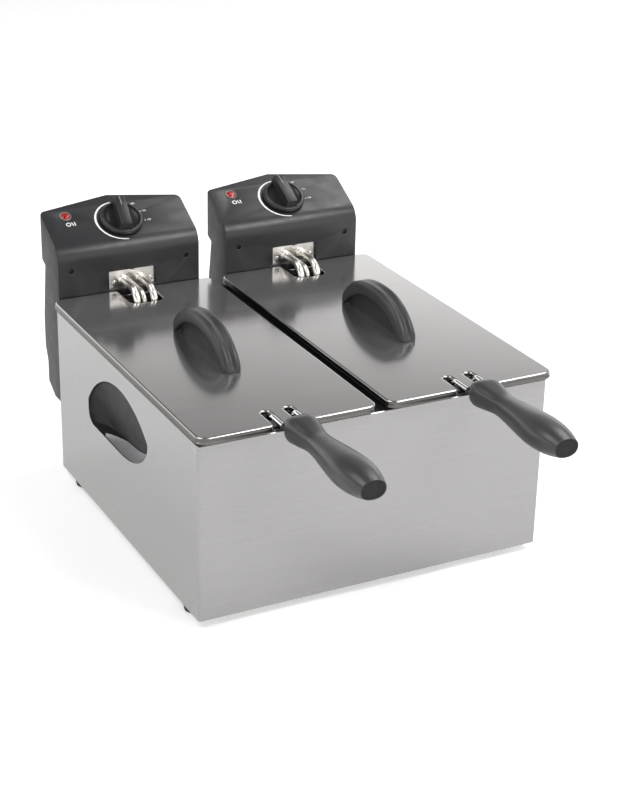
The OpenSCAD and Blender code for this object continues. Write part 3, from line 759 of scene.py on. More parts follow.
def feet():
    """Four rubber feet with a rounded lower edge, a hollow below and a shallow groove round the side."""
    lo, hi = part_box("rubber_feet")
    radius, hole_r, well_r, well_h = 0.010, 0.0019, 0.0046, 0.0042
    height = hi.z - lo.z
    side = [
        (0.0032, 0.0), (0.0022, 0.0003), (0.0012, 0.0012), (0.0009, 0.003), (0.0014, 0.0034),
        (0.0014, 0.0040), (0.0006, 0.0044), (0.0, height - 0.001), (0.0006, height),
    ]
    profile = [(hole_r, well_h), (well_r, well_h), (well_r, 0.0006), (well_r + 0.0006, 0.0)]
    profile += [(radius - step, z) for step, z in side] + [(hole_r, height)]
    pieces = [
        turned_ring("foot", profile, 48, Matrix.Translation((x, y, 0)))
        for x in (lo.x + radius, hi.x - radius)
        for y in (lo.y + radius, hi.y - radius)
    ]
    finish_piece(join("feet_rubber", pieces), "housing", "rubber", ["rubber_feet"])


# ------------------------------------------------------------------ lid

def lid_plan(unit):
    """One closed outline: front edge with two slots, back edge with the notch for the legs."""
    x0, x1, y0, y1 = unit.lid_lo.x, unit.lid_hi.x, unit.lid_lo.y, unit.lid_hi.y
    corner, lip = 0.011, 0.0046
    slot_half = 0.0040
    slot_end = y0 + 0.034
    notch_half, notch_y, notch_r = 0.018, y1 - 0.045, 0.009
    corners = [(x0, y0, corner)]
    for x in (unit.x - unit.wire_x, unit.x + unit.wire_x):
        corners += [
            (x - slot_half, y0, lip), (x - slot_half, slot_end, slot_half * 0.98),
            (x + slot_half, slot_end, slot_half * 0.98), (x + slot_half, y0, lip),
        ]
    corners += [
        (x1, y0, corner), (x1, y1, corner),
        (unit.x + notch_half, y1, lip), (unit.x + notch_half, notch_y, notch_r),
        (unit.x - notch_half, notch_y, notch_r), (unit.x - notch_half, y1, lip),
        (x0, y1, corner),
    ]
    return filleted(corners)


def lid(unit):
    """Pressed sheet: a flat top, a rolled shoulder and a rim with a hemmed lower edge."""
    plan = lid_plan(unit)
    top, low = unit.lid_hi.z, unit.lid_lo.z
    sheet, shoulder, hem, draft = 0.0012, 0.0020, 0.0014, 0.0004
    outer = [
        (hem, low + 0.0006), (draft, low), (0.0, low + 0.0006), (0.0, low + hem), (draft, low + hem + 0.0005),
        (draft, top - shoulder),
    ]
    outer += [(draft + shoulder * c, top - shoulder + shoulder * s) for c, s in quarter(8)[1:]]
    outer.append((draft + shoulder + 0.0004, top))
    inner_r = shoulder - sheet
    inner = [(draft + shoulder + 0.0004, top - sheet)]
    inner += [(draft + sheet + inner_r * c, top - shoulder + inner_r * s) for c, s in reversed(quarter(4))]
    inner.append((draft + sheet, low + hem))
    skins = [[at_height(inset(plan, d), z) for d, z in side] for side in (outer, inner)]
    panel = sheet_loft(unit.node("lid_sheet"), *skins)
    mesh = panel.data
    paint(mesh, "lid_steel", "lid_rim", "lid_skirt")
    flat_z = top - 0.0003
    # Rim faces below the shoulder that face the front or the sides take the dark copy of the metal, a painted
    # dark reflection; the rest of the rim takes the rim metal.
    for polygon in mesh.polygons:
        heights = [mesh.vertices[v].co.z for v in polygon.vertices]
        if min(heights) < flat_z and len(polygon.vertices) == 4:
            facing = polygon.normal.y < -0.5 or abs(polygon.normal.x) > 0.7
            polygon.material_index = 2 if facing and max(heights) < top - shoulder * 0.6 else 1
    unit.finish(panel, "lid", "lid_steel", "lid_panel", angle=40)


RECESS_L = 0.0610
RECESS_H = 0.0262
RECESS_IN = 0.0068
HANDLE_END_R = 0.0055


def handle_section(y, half_l, half_w, height):
    """The lid handle's outline at y from its middle: up the right side, over the top and down the left."""
    part = abs(y) / half_l
    crest = max(height * (1 - part ** 2.3) ** mapped(y, ((-0.04, 0.66), (0.04, 0.54))), 0.0006)
    under = ease = pinch = 0.0
    if abs(y) < RECESS_L:
        recess_r = (RECESS_L ** 2 + RECESS_H ** 2) / (2 * RECESS_H)
        under = RECESS_H - recess_r + math.sqrt(max(recess_r ** 2 - y ** 2, 0))
        ease = min(1.0, (RECESS_L - abs(y)) / 0.006)
        pinch = RECESS_IN * math.sqrt(max(0.0, 1 - (1 - ease) ** 2))
    under = max(0.0, min(under, crest - 0.0004))
    near_end = max(0.0, abs(y) - (half_l - HANDLE_END_R)) / HANDLE_END_R
    wide = half_w * (1 - 0.10 * part ** 3) * (1 - 0.5 * (1 - math.sqrt(1 - near_end ** 2)))
    core = wide - pinch
    band = crest - under
    round_r = min(0.0058, band * 0.5)
    low_r = min(0.0012, band * 0.2)
    valley = 0.0032 * (max(0.0, 0.035 - y) / (half_l + 0.035)) ** 1.4
    valley = min(valley, band * 0.35)
    side = [
        (core, 0.0),
        (core - 0.0003 * ease, under * 0.5),
        (core, max(under - 0.0018, under * 0.7)),
        (core + min(0.0008, pinch * 0.3), max(under - 0.0006, under * 0.9)),
        (core + min(0.0022, pinch * 0.5), under),
        (max(wide - low_r, core), under),
        (wide - low_r * 0.3, under + low_r * 0.35),
        (wide, under + low_r),
        (wide, under + low_r + (band - low_r - round_r) * 0.5),
    ]
    side += [(wide - round_r * 0.8 * c, crest - round_r * (1 - s)) for c, s in quarter(6)]
    shoulder_x = side[-1][0]
    for t in spread(0, 1, 6)[1:-1]:
        dip = valley * (1 - math.cos(math.pi * t)) / 2
        side.append((shoulder_x * (1 - t), crest - dip))
    return side + [(0.0, crest - valley)] + [(-x, z) for x, z in reversed(side)]


def lid_handle(unit):
    """An arched handle: a round-edged band over deep finger recesses, with a valley in its front half."""
    lo, hi = unit.box("lid_handle")
    middle = (lo.y + hi.y) / 2
    half_l = (hi.y - lo.y) / 2
    half_w = (hi.x - lo.x) / 2
    loops = []
    for part in spread(-0.5, 0.5, 120):
        y = half_l * 0.999 * math.sin(math.pi * part)
        outline = handle_section(y, half_l, half_w, hi.z - lo.z)
        loops.append([Vector((unit.x + x, middle + y, lo.z + z)) for x, z in outline])
    handle = loft(unit.node("lid_handle_arch"), loops)
    paint(handle.data, "lid_handle_plastic", "handle_recess")
    # Faces deep in the finger recesses take the darker copy of the handle plastic: painted shade.
    for polygon in handle.data.polygons:
        if abs(polygon.normal.x) > 0.9 and abs(polygon.center.x - unit.x) < half_w - RECESS_IN * 0.5:
            polygon.material_index = 1
    unit.finish(handle, "lid", "lid_handle_plastic", "lid_handle", angle=48)


# ------------------------------------------------------------------ basket handle

# How far along the grip, half its width and half its height there.
GRIP_SECTIONS = (
    (0.0, 0.0104, 0.0080), (0.012, 0.0130, 0.0104), (0.035, 0.0150, 0.0122), (0.075, 0.0160, 0.0132),
    (0.12, 0.0154, 0.0128), (0.27, 0.0121, 0.0104), (0.38, 0.0131, 0.0112), (0.66, 0.0186, 0.0146),
    (0.76, 0.0193, 0.0149), (0.86, 0.0181, 0.0140), (0.94, 0.0156, 0.0119), (1.0, 0.0128, 0.0093),
)
GRIP_SQUARENESS = ((0.0, 3.2), (0.15, 3.0), (0.4, 2.3), (0.8, 2.2), (1.0, 2.2))


def grip_section(unit, t, scale=1.0, push=0.0):
    """The grip's rounded outline a part t of the way from its collar to its end."""
    half_w = curve([(place, width) for place, width, _ in GRIP_SECTIONS], t) * scale
    half_h = curve([(place, height) for place, _, height in GRIP_SECTIONS], t) * scale
    power = 2 / mapped(t, GRIP_SQUARENESS)
    y = unit.grip_hi.y - (unit.grip_hi.y - unit.grip_lo.y) * t + push
    return [
        Vector((
            unit.x + half_w * math.copysign(abs(c) ** power, c), y,
            unit.wire_z + half_h * math.copysign(abs(s) ** power, s),
        ))
        for c, s in circle(1, 56)
    ]


def grip(unit):
    """The grip: rounded collar, waist, full palm and a cut-off end with a darker face."""
    rim = 0.0007
    loops = [grip_section(unit, t) for t in spread(0, 1, 90)]
    loops += [grip_section(unit, 1.0, 0.965), grip_section(unit, 1.0, 0.93, rim)]
    body = loft(unit.node("grip_body"), loops)
    mesh = body.data
    paint(mesh, "grip_plastic", "grip_end")
    # The end face takes a near-black, rougher copy of the grip plastic.
    end_y = unit.grip_lo.y + rim + 1e-5
    for polygon in mesh.polygons:
        if all(mesh.vertices[v].co.y < end_y for v in polygon.vertices) and len(polygon.vertices) > 4:
            polygon.material_index = 1
    unit.finish(body, "basket_handle", "grip_plastic", "handle_grip", angle=40)
    profile = [(0.0023, 0.0), (0.0040, 0.0), (0.0040, 0.0012), (0.0032, 0.0021), (0.0023, 0.0021)]
    ferrules = [
        lathe("ferrule", profile, 32, to_back(x, unit.grip_hi.y - 0.0006, unit.wire_z))
        for x in (unit.x - unit.wire_x, unit.x + unit.wire_x)
    ]
    unit.finish(join(unit.node("grip_sockets"), ferrules), "basket_handle", "grip_plastic")


def handle_wires(unit):
    """Two plated wires: a pin through the ear, a bend up through the slot and a run into the grip."""
    pivot = unit.handle_pivot()
    pin_x, small_bend = 0.006, 0.0024
    big_bend = unit.wire_z - pivot.z
    pieces = []
    for sign in (-1, 1):
        x = unit.x + sign * unit.wire_x
        corners = [
            Vector((unit.x + sign * pin_x, pivot.y, pivot.z)),
            Vector((x, pivot.y, pivot.z)),
            Vector((x, pivot.y, pivot.z + small_bend + 0.0001)),
        ]
        path = bent_path(corners, small_bend, 6)[:-1]
        centre = Vector((x, pivot.y - big_bend, pivot.z))
        for a in map(math.radians, spread(17.5, 90, 12)):
            path.append(centre + Vector((0, big_bend * math.cos(a), big_bend * math.sin(a))))
        path.append(Vector((x, unit.grip_hi.y - 0.012, unit.wire_z)))
        pieces.append(tube("wire", path, WIRE_R, 24))
    wires = join(unit.node("handle_wire_pair"), pieces)
    unit.finish(wires, "basket_handle", "plated_wire", "handle_wires")


# ------------------------------------------------------------------ control head

HEAD_SIDE_D = 0.055
BEND_R = 0.022
COVER_SHEET = 0.0025
KNOB_S = 0.035
LAMP_X = -0.059
LAMP_S = 0.051
SCREW_X = 0.067
ELEMENT_R = 0.004
LEG_X = 0.010
LEG_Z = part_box("left_heating_element")[1].z - ELEMENT_R
SENSOR_DROP = 0.0055


def head_profile(unit, thickness_in=0.0):
    """The front cover's outer line in Y and Z: up the front, round the bend and up the panel."""
    bend_r = BEND_R - thickness_in
    panel_z = panel_height(unit)
    y0 = unit.head_y + thickness_in
    drop = thickness_in / math.cos(PANEL_SLOPE)

    def on_slope(y):
        return panel_z + (y - unit.head_y) * math.tan(PANEL_SLOPE) - drop

    cy = y0 + bend_r
    cz = on_slope(cy) - bend_r / math.cos(PANEL_SLOPE)
    angles = [math.pi - turn for turn in spread(0, math.pi / 2 - PANEL_SLOPE, 18)]
    return y0, [(cy + bend_r * math.cos(a), cz + bend_r * math.sin(a)) for a in angles], on_slope


def panel_height(unit):
    """Height at which the panel's plane would meet the front face's plane."""
    return unit.front_hi.z - (unit.front_hi.y - unit.head_y) * math.tan(PANEL_SLOPE)


def on_panel(unit, x, s, lift=0.0):
    """Matrix of a place on the sloped panel: x from the unit's middle, s up the slope, Z out of the panel."""
    place = Vector((
        unit.x + x,
        unit.head_y + s * math.cos(PANEL_SLOPE) - lift * math.sin(PANEL_SLOPE),
        panel_height(unit) + s * math.sin(PANEL_SLOPE) + lift * math.cos(PANEL_SLOPE),
    ))
    return Matrix.Translation(place) @ Matrix.Rotation(PANEL_SLOPE, 4, "X")


def chevron(unit, shrink=0.0, front=-0.002):
    """Plan of the head: straight front, round back corners and a back that comes to a shallow point."""
    half = unit.head_half - shrink
    back = unit.front_hi.y
    side_y = unit.head_y + HEAD_SIDE_D
    corner, point, edge = 0.0065 - shrink, 0.004, 0.0005
    return filleted([
        (unit.head_x - half, unit.head_y + front, edge), (unit.head_x + half, unit.head_y + front, edge),
        (unit.head_x + half, side_y - shrink, corner), (unit.head_x, back - shrink, point),
        (unit.head_x - half, side_y - shrink, corner),
    ])


def head_front(unit):
    """The front cover: one sheet that turns from the front face into the sloped panel."""
    y0, arc, slope = head_profile(unit)
    y1, inner_arc, inner_slope = head_profile(unit, COVER_SHEET)
    low = unit.front_lo.z
    back = unit.front_hi.y + 0.01
    outline = [(y0, low)] + arc + [(back, slope(back)), (back, inner_slope(back))]
    outline += list(reversed(inner_arc)) + [(y1, low)]
    x0, x1 = unit.head_x - unit.head_half, unit.head_x + unit.head_half
    cover = prism(unit.node("head_front"), list(reversed(outline)), x0, x1, across)
    keep = prism("plan", chevron(unit), low - 0.01, unit.front_hi.z + 0.01, upward)
    cut(cover, keep, operation="INTERSECT")
    plate_lo, plate_hi = unit.box("element_plate")
    lap_x, lap_z, slot_half, slot_h = 0.006, 0.005, 0.0036, 0.087
    window = rounded_rect(
        plate_lo.x + lap_x, plate_hi.x - lap_x, plate_lo.z + lap_z, plate_hi.z - lap_z, 0.0012)
    cut(cover, prism("window", window, y0 - 0.002, y1 + 0.002, frontward))
    slot = rect(unit.x - slot_half, unit.x + slot_half, low - 0.001, low + slot_h)
    cut(cover, prism("rail_slot", slot, y0 - 0.002, y1 + 0.0004, frontward))
    for sign in (-1, 1):
        place = to_back(unit.head_x + sign * SCREW_X, y0 - 0.001, unit.middle("head_screws").z)
        cut(cover, rod("screw_well", 0.0026, 0.005, 32, place))
    cut(cover, rod("shaft_hole", 0.0036, 0.016, 32, on_panel(unit, 0, KNOB_S, -0.008)))
    cut(cover, rod("lamp_hole", 0.0065, 0.016, 48, on_panel(unit, LAMP_X, LAMP_S, -0.008)))
    soften(cover, 0.0012, 4, 28)
    unit.finish(cover, "head", "head_plastic", "head_front_cover", angle=32)


def head_outline(unit, shrink=0.0):
    """The whole head in Y and Z, clockwise from the front's lower corner; all faces moved in alike."""
    y0, arc, slope = head_profile(unit, shrink)
    low = unit.front_lo.z
    body = low - 0.071
    back = unit.front_hi.y
    neck, waist, toe = unit.head_y + 0.041, unit.head_y + 0.044, unit.head_y + 0.024
    return [(y0, low + shrink)] + arc + [
        (back - shrink, slope(back - shrink)),
        (back - shrink, body + 0.232 + shrink),
        (neck - shrink, body + 0.220 + shrink),
        (unit.head_y + HEAD_SIDE_D - shrink, body + 0.132),
        (waist - shrink, body + 0.107),
        (waist - shrink, body + 0.083 + shrink),
        (toe, low + shrink),
    ]


def behind_front(unit, gap):
    """Everything behind the front cover's inner face, in Y and Z."""
    y1, arc, slope = head_profile(unit, COVER_SHEET + gap)
    far = unit.front_hi.y + 0.05
    low = unit.front_lo.z - 0.02
    return [(y1, low)] + arc + [(far, slope(far)), (far, low)]


def head_rear(unit):
    """The rear cover: a hollow case with a stepped back, set off from the front cover by a fine groove."""
    x0, x1 = unit.head_x - unit.head_half, unit.head_x + unit.head_half
    top = unit.front_hi.z + 0.02
    low = unit.front_lo.z - 0.02
    case = prism(unit.node("head_rear"), list(reversed(head_outline(unit))), x0, x1, across)
    cut(case, prism("plan", chevron(unit), low, top, upward), operation="INTERSECT")
    behind = prism("behind", list(reversed(behind_front(unit, 0.0008))), x0 - 0.01, x1 + 0.01, across)
    cut(case, behind, operation="INTERSECT")
    soften(case, 0.0016, 4, 24)
    wall = 0.0026
    hollow = prism("hollow", list(reversed(head_outline(unit, wall))), x0 + wall, x1 - wall, across)
    cut(hollow, prism("plan", chevron(unit, wall), low, top, upward), operation="INTERSECT")
    cut(case, hollow)
    for name, radius in (("reset_button", 0.0036), ("cord_gland", 0.0069)):
        centre = unit.middle(name)
        cut(case, rod("back_hole", radius, 0.05, 40, to_back(centre.x, unit.head_y + 0.02, centre.z)))
    centre = unit.middle("interlock_plunger")
    under = Matrix.Translation((centre.x, centre.y, unit.front_lo.z - 0.02))
    cut(case, rod("plunger_hole", 0.0023, 0.026, 24, under))
    way_half, way_d = 0.0076, 0.0062
    way = rect(unit.x - way_half, unit.x + way_half, unit.head_y, unit.head_y + way_d)
    cut(case, prism("rail_way", way, unit.front_lo.z - 0.01, unit.front_lo.z + 0.008, upward))
    vents(unit, case)
    unit.finish(case, "head", "rear_plastic", "head_rear_cover", angle=32)


def vents(unit, case):
    """Cooling slits in the head's back, left out where the reset button is."""
    low, pitch, half, height = unit.front_lo.z + 0.079, 0.007, 0.016, 0.0024
    button_z, clear = 0.179, 0.012
    for i in range(5):
        z = low + i * pitch
        for sign in (-1, 1):
            if sign > 0 and abs(z - button_z) < clear:
                continue
            x = unit.head_x + sign * 0.048
            slit = rounded_rect(x - half, x + half, z, z + height, 0.001)
            cut(case, prism("slit", slit, unit.head_y + 0.03, unit.head_y + 0.07, frontward))


def cross_screw(profile, sides, place, spin, groove_l, groove_w):
    """A screw head with a cross in it."""
    head = lathe("screw", profile, sides, place)
    for angle in (spin, spin + math.pi / 2):
        groove = prism("groove", rect(-groove_l, groove_l, -groove_w, groove_w), 0.0010, 0.003, upward)
        groove.data.transform(place @ Matrix.Rotation(angle, 4, "Z"))
        cut(head, groove)
    return head


def head_screws(unit):
    """The two screws in their wells in the front face."""
    profile = [
        (0.0, -0.012), (0.0013, -0.012), (0.0013, 0.0), (0.0024, 0.0004), (0.0024, 0.0010),
        (0.0018, 0.0016), (0.0, 0.0017),
    ]
    z = unit.middle("head_screws").z
    places = [to_front(unit.head_x + sign * SCREW_X, unit.head_y + 0.0032, z) for sign in (-1, 1)]
    pieces = [cross_screw(profile, 32, place, 0.4, 0.0015, 0.00028) for place in places]
    unit.finish(join(unit.node("cover_screws"), pieces), "head", "screw_dark", "head_screws")


def lamp(unit):
    """A red lens with a domed face in a thin bezel."""
    r, lens_r = 0.0064, 0.0048
    lens = [(0.0, -0.011), (lens_r, -0.011), (lens_r, 0.0006), (lens_r - 0.0006, 0.0010), (0.003, 0.0014),
            (0.0015, 0.0016), (0.0, 0.0016)]
    body = lathe(unit.node("lamp_lens"), lens, 48, on_panel(unit, LAMP_X, LAMP_S))
    unit.finish(body, "head", "lamp_red", "pilot_lamp")
    profile = [(lens_r + 0.0001, 0.00002), (r + 0.0003, 0.00002), (r + 0.0002, 0.0007), (r - 0.0004, 0.0011),
               (lens_r + 0.0006, 0.0010), (lens_r + 0.0001, 0.0005)]
    # The bezel's pale warm grey is partly its own colour and partly a painted highlight round the lens.
    bezel = turned_ring(unit.node("lamp_bezel"), profile, 48, on_panel(unit, LAMP_X, LAMP_S))
    unit.finish(bezel, "head", "head_plastic", material="lamp_bezel")


def flat_mark(unit, outline, x, s, turn=0.0):
    """A printed mark on the panel."""
    mark = prism("mark", outline, -0.00002, 0.00012, upward)
    mark.data.transform(on_panel(unit, x, s) @ Matrix.Rotation(turn, 4, "Z"))
    return mark


def arc_band(start, end, radius, thick_start, thick_end, steps=48):
    """Outline of an arc that thins out; angles in degrees from up the slope, clockwise."""
    outer, inner = [], []
    for t in spread(0, 1, steps):
        a = math.radians(90 - (start + (end - start) * t))
        half = (thick_start + (thick_end - thick_start) * t) / 2
        outer.append(((radius + half) * math.cos(a), (radius + half) * math.sin(a)))
        inner.append(((radius - half) * math.cos(a), (radius - half) * math.sin(a)))
    return inner + list(reversed(outer))


def digits(text, size):
    """Figures as a thin solid, standing on its own lower left corner."""
    data = bpy.data.curves.new("digits", "FONT")
    data.body = text
    data.size = size
    data.extrude = 0.00006
    data.align_y = "CENTER"
    obj = add_object("digits", data)
    bpy.context.view_layer.update()
    mesh = bpy.data.meshes.new_from_object(obj.evaluated_get(bpy.context.evaluated_depsgraph_get()))
    bpy.data.objects.remove(obj)
    return add_object("digits", mesh)


def dial_marks(unit):
    """The panel's printing: an arc round the knob, three set points with figures, and the on-off mark."""
    arc_r, point_r, ring_r, stroke = 0.0283, 0.0272, 0.0023, 0.0010
    pieces = []
    for start, end, thick_a, thick_b in ((-6, -80, 0.0013, 0.0025), (-80, -178, 0.0025, 0.0012)):
        pieces.append(flat_mark(unit, arc_band(start, end, arc_r, thick_a, thick_b), 0, KNOB_S))
    for angle, label in ((37, "190"), (70, "170"), (100, "150")):
        a = math.radians(90 - angle)
        x, s = point_r * math.cos(a), point_r * math.sin(a)
        pieces.append(flat_mark(unit, circle(0.0007, 24), x, KNOB_S + s))
        figures = digits(label, 0.0034)
        figures.data.transform(on_panel(unit, x + 0.0020, KNOB_S + s + 0.0002, 0.00006))
        pieces.append(figures)
    ring_x, ring_s = LAMP_X - 0.0004, 0.0385
    for start in (0, 180):
        band = arc_band(start, start + 180, ring_r, stroke, stroke, 20)
        pieces.append(flat_mark(unit, band, ring_x, ring_s))
    bar = rect(-stroke / 2, stroke / 2, -0.0027, 0.0027)
    pieces.append(flat_mark(unit, bar, ring_x + 0.0046, ring_s, math.radians(14)))
    pieces.append(flat_mark(unit, bar, ring_x + 0.0074, ring_s))
    unit.finish(join(unit.node("panel_print"), pieces), "head", "head_plastic", material="ink", angle=20)


KNOB_R = 0.024
KNOB_H = 0.017
KNOB_BAR = (-0.0202, KNOB_R - 0.0007)
KNOB_TURN = {"left": math.radians(-8), "right": math.radians(1)}


def knob_top(y):
    """Height of the grip bar's top along its length."""
    return KNOB_H - 0.0006 - 0.0022 * (abs(y) / KNOB_R) ** 3


def knob_bar_section(y):
    """The grip bar's outline at one place along it: sides that lean in, with rounded upper edges."""
    base, edge = 0.002, 0.0009
    top = knob_top(y)
    end = math.sqrt(max(1e-9, (KNOB_R - 0.0004) ** 2 - y * y))
    low_half = min(0.0070 + 0.0050 * max(0.0, (-y / KNOB_R - 0.35)) ** 2 * 2, end)
    top_half = min(0.0062 - 0.0004 * (abs(y) / KNOB_R), end * 0.96)
    side = [
        (low_half + (top_half - low_half) * t ** 0.6, base + (top - edge - base) * t) for t in spread(0, 1, 8)
    ]
    side += [(max(top_half - edge * c, top_half * 0.4), top - edge + edge * s) for c, s in quarter(4)[1:]]
    return side + [(-x, z) for x, z in reversed(side)]


def knob(unit):
    """The knob: a skirt with a beaded ring, and a bowl on each side of a raised grip bar."""
    skirt, gap, ring_r = 0.0062, 0.0009, 0.0207
    profile = [
        (0.0, gap), (KNOB_R - 0.0016, gap), (KNOB_R - 0.0004, gap + 0.0006), (KNOB_R, gap + 0.0016),
        (KNOB_R - 0.0006, skirt - 0.0012), (KNOB_R - 0.0012, skirt - 0.0004), (KNOB_R - 0.0020, skirt),
        (ring_r + 0.0006, skirt), (ring_r + 0.0003, skirt + 0.0003), (ring_r - 0.0002, skirt + 0.0003),
        (ring_r - 0.0006, skirt - 0.0004), (ring_r - 0.0028, skirt - 0.0026), (0.014, skirt - 0.0034),
        (0.0, skirt - 0.0036),
    ]
    body = lathe(unit.node("knob_body"), profile, 128)
    loops = [[Vector((x, y, z)) for x, z in knob_bar_section(y)] for y in spread(*KNOB_BAR, 56)]
    cut(body, loft("bar", loops), operation="UNION")
    place = on_panel(unit, 0, KNOB_S) @ Matrix.Rotation(KNOB_TURN[unit.side], 4, "Z")
    body.data.transform(place)
    unit.finish(body, "knob", "knob_plastic", "control_knob", angle=38)
    knob_pointer(unit, place)


def knob_pointer(unit, place):
    """A thin pale line along the upper end of the grip bar."""
    half = 0.0004
    loops = []
    for y in spread(0.0080, KNOB_BAR[1] - 0.0004, 12):
        top = knob_top(y)
        low, high = top - 0.0006, top + 0.00012
        loops.append([Vector((x, y, z)) for x, z in ((half, low), (half, high), (-half, high), (-half, low))])
    line = loft(unit.node("knob_pointer"), loops)
    line.data.transform(place)
    unit.finish(line, "knob", "knob_plastic", material="pointer_ink")


def element_plate(unit):
    """The bright plate in the window, with two screws, a collar on each leg and a stub above them."""
    lo, hi = unit.box("element_plate")
    outline = rounded_rect(lo.x, hi.x, lo.z, hi.z, 0.001)
    plate = prism(unit.node("window_plate"), outline, lo.y, hi.y, frontward)
    soften(plate, 0.0003, 2)
    for x, z, radius in ((-LEG_X, LEG_Z, 0.0041), (LEG_X, LEG_Z, 0.0041), (0, LEG_Z - SENSOR_DROP, 0.0031)):
        cut(plate, rod("leg_hole", radius, 0.01, 32, to_back(unit.x + x, lo.y - 0.002, z)))
    unit.finish(plate, "head", "plate_steel", "element_plate")
    screws_lo, screws_hi = unit.box("plate_screws")
    gap = (screws_hi.x - screws_lo.x) / 2 - 0.003
    z = (screws_lo.z + screws_hi.z) / 2
    profile = [(0.0, 0.0), (0.0031, 0.0), (0.0031, 0.0007), (0.0026, 0.0014), (0.0016, 0.0018), (0.0, 0.0019)]
    pieces = []
    for sign in (-1, 1):
        place = to_front(unit.x + sign * gap, lo.y + 0.0002, z)
        pieces.append(cross_screw(profile, 40, place, 0.3 * sign, 0.002, 0.00035))
    screws = join(unit.node("window_screws"), pieces)
    unit.finish(screws, "head", "plate_steel", "plate_screws", material="screw_steel")
    collar = [(0.0, 0.0), (0.0056, 0.0), (0.0056, 0.0016), (0.0052, 0.0020), (0.0042, 0.0022), (0.0, 0.0022)]
    stub = [(0.0, 0.0), (0.0034, 0.0), (0.0034, 0.0028), (0.0028, 0.0036), (0.0, 0.0038)]
    pieces = [
        lathe("collar", profile, 40, to_front(unit.x + x, lo.y + 0.0001, z))
        for profile, x, z in ((collar, -LEG_X, LEG_Z), (collar, LEG_X, LEG_Z), (stub, 0.001, hi.z - 0.0085))
    ]
    unit.finish(join(unit.node("leg_collars"), pieces), "head", "plate_steel", material="element_steel")


def element(unit):
    """The tubular element: two legs out of the plate, down into the tank and round in one flat loop."""
    lo, hi = unit.box("heating_element")
    leg_bend, turn, in_x = 0.016, 0.012, 0.024
    out_x = (hi.x - lo.x) / 2 - ELEMENT_R
    loop_r = (out_x - in_x) / 2
    floor_z, front_y, leg_y = lo.z + ELEMENT_R, lo.y + ELEMENT_R, unit.head_y - 0.038
    run_y = leg_y - leg_bend - 0.004 - turn
    inner_y = run_y - 2 * ELEMENT_R - 0.004
    half = [
        ((-LEG_X, hi.y, LEG_Z), 0), ((-LEG_X, leg_y, LEG_Z), leg_bend), ((-LEG_X, leg_y, floor_z), leg_bend),
        ((-LEG_X, run_y, floor_z), turn), ((-out_x, run_y, floor_z), turn),
        ((-out_x, front_y, floor_z), loop_r), ((-in_x, front_y, floor_z), loop_r),
        ((-in_x, inner_y, floor_z), in_x),
    ]
    stops = half + [((-x, y, z), r) for (x, y, z), r in reversed(half)]
    corners = [(unit.x + x, y, z) for (x, y, z), _ in stops]
    path = bent_path(corners, [r * 0.998 for _, r in stops[1:-1]], 9)
    bar = tube(unit.node("element_tube"), path, ELEMENT_R, 24)
    unit.finish(bar, "head", "element_steel", "heating_element", angle=60)


def cord_gland(unit):
    """The outlet sleeve with stepped strain-relief rings round its open bore."""
    lo, hi = unit.box("cord_gland")
    centre = unit.middle("cord_gland")
    bore, outer, flange = 0.0038, 0.0066, 0.009
    length = hi.y - lo.y
    profile = [
        (bore, 0.0), (outer, 0.0), (outer, 0.008), (flange - 0.0005, 0.008), (flange, 0.0085),
        (flange, 0.0102), (flange - 0.0008, 0.0110), (outer, 0.0110), (outer - 0.0006, length - 0.0006),
        (outer - 0.0012, length), (bore + 0.0004, length), (bore, length - 0.0004),
    ]
    sleeve = turned_ring(unit.node("cord_sleeve"), profile, 48, to_back(centre.x, lo.y, centre.z))
    unit.finish(sleeve, "head", "rubber", "cord_gland")


# ------------------------------------------------------------------ tank and basket

def tank(unit):
    """A pressed, enamelled tank: rounded floor edge, flange on the deck and a rolled rim."""
    lo, hi = unit.box("oil_tank")
    flange, flange_t, wall, floor_r = TANK_FLANGE, 0.0015, 0.001, 0.010
    outline = rounded_rect(lo.x + flange, hi.x - flange, lo.y + flange, hi.y - flange, TANK_CORNER)
    outer = [(floor_r * (1 - s), lo.z + floor_r * c) for c, s in quarter(8)]
    outer += [
        (0.0, DECK_Z - 0.0001), (0.0, DECK_Z), (-flange, DECK_Z), (-flange, DECK_Z + flange_t * 0.6),
        (-flange + 0.0006, DECK_Z + flange_t), (0.0, DECK_Z + flange_t), (0.0, hi.z - 0.0004),
        (0.0003, hi.z), (wall - 0.0003, hi.z), (wall, hi.z - 0.0004),
    ]
    inner_r = floor_r - wall
    inner = [(wall + inner_r * (1 - s), lo.z + wall + inner_r * c) for c, s in reversed(quarter(8))]
    body = loft(unit.node("tank_pressing"), [at_height(inset(outline, d), z) for d, z in outer + inner])
    unit.finish(body, "tank", "tank_enamel", "oil_tank")


def closed_tube(name, path, radius, sides=16):
    """A round wire along a level closed path."""
    count = len(path)
    loops = []
    for i, point in enumerate(path):
        tangent = (path[(i + 1) % count] - path[i - 1]).normalized()
        side = tangent.cross(Z_AXIS)
        loops.append([point + (Z_AXIS * c + side * s) * radius for c, s in circle(1, sides)])
    return shell_loft(name, loops)


def woven_panel(origin, along, up, size_a, size_b, pitch, radius):
    """Straight wires both ways, the two sets touching back to back."""
    normal = along.cross(up).normalized()
    hexagon = ((1, 0), (0.5, 0.87), (-0.5, 0.87), (-1, 0), (-0.5, -0.87), (0.5, -0.87))
    bm = bmesh.new()
    for direction, other, length, width, shift in (
            (along, up, size_a, size_b, radius), (up, along, size_b, size_a, -radius)):
        count = max(2, round(width / pitch))
        side = direction.cross(normal).normalized()
        for i in range(count + 1):
            start = origin + other * (width * i / count) + normal * shift
            ends = (start, start + direction * length)
            skin(bm, [[p + (side * c + normal * s) * radius for c, s in hexagon] for p in ends])
    mesh = bpy.data.meshes.new("panel")
    bm.to_mesh(mesh)
    bm.free()
    return add_object("panel", mesh)


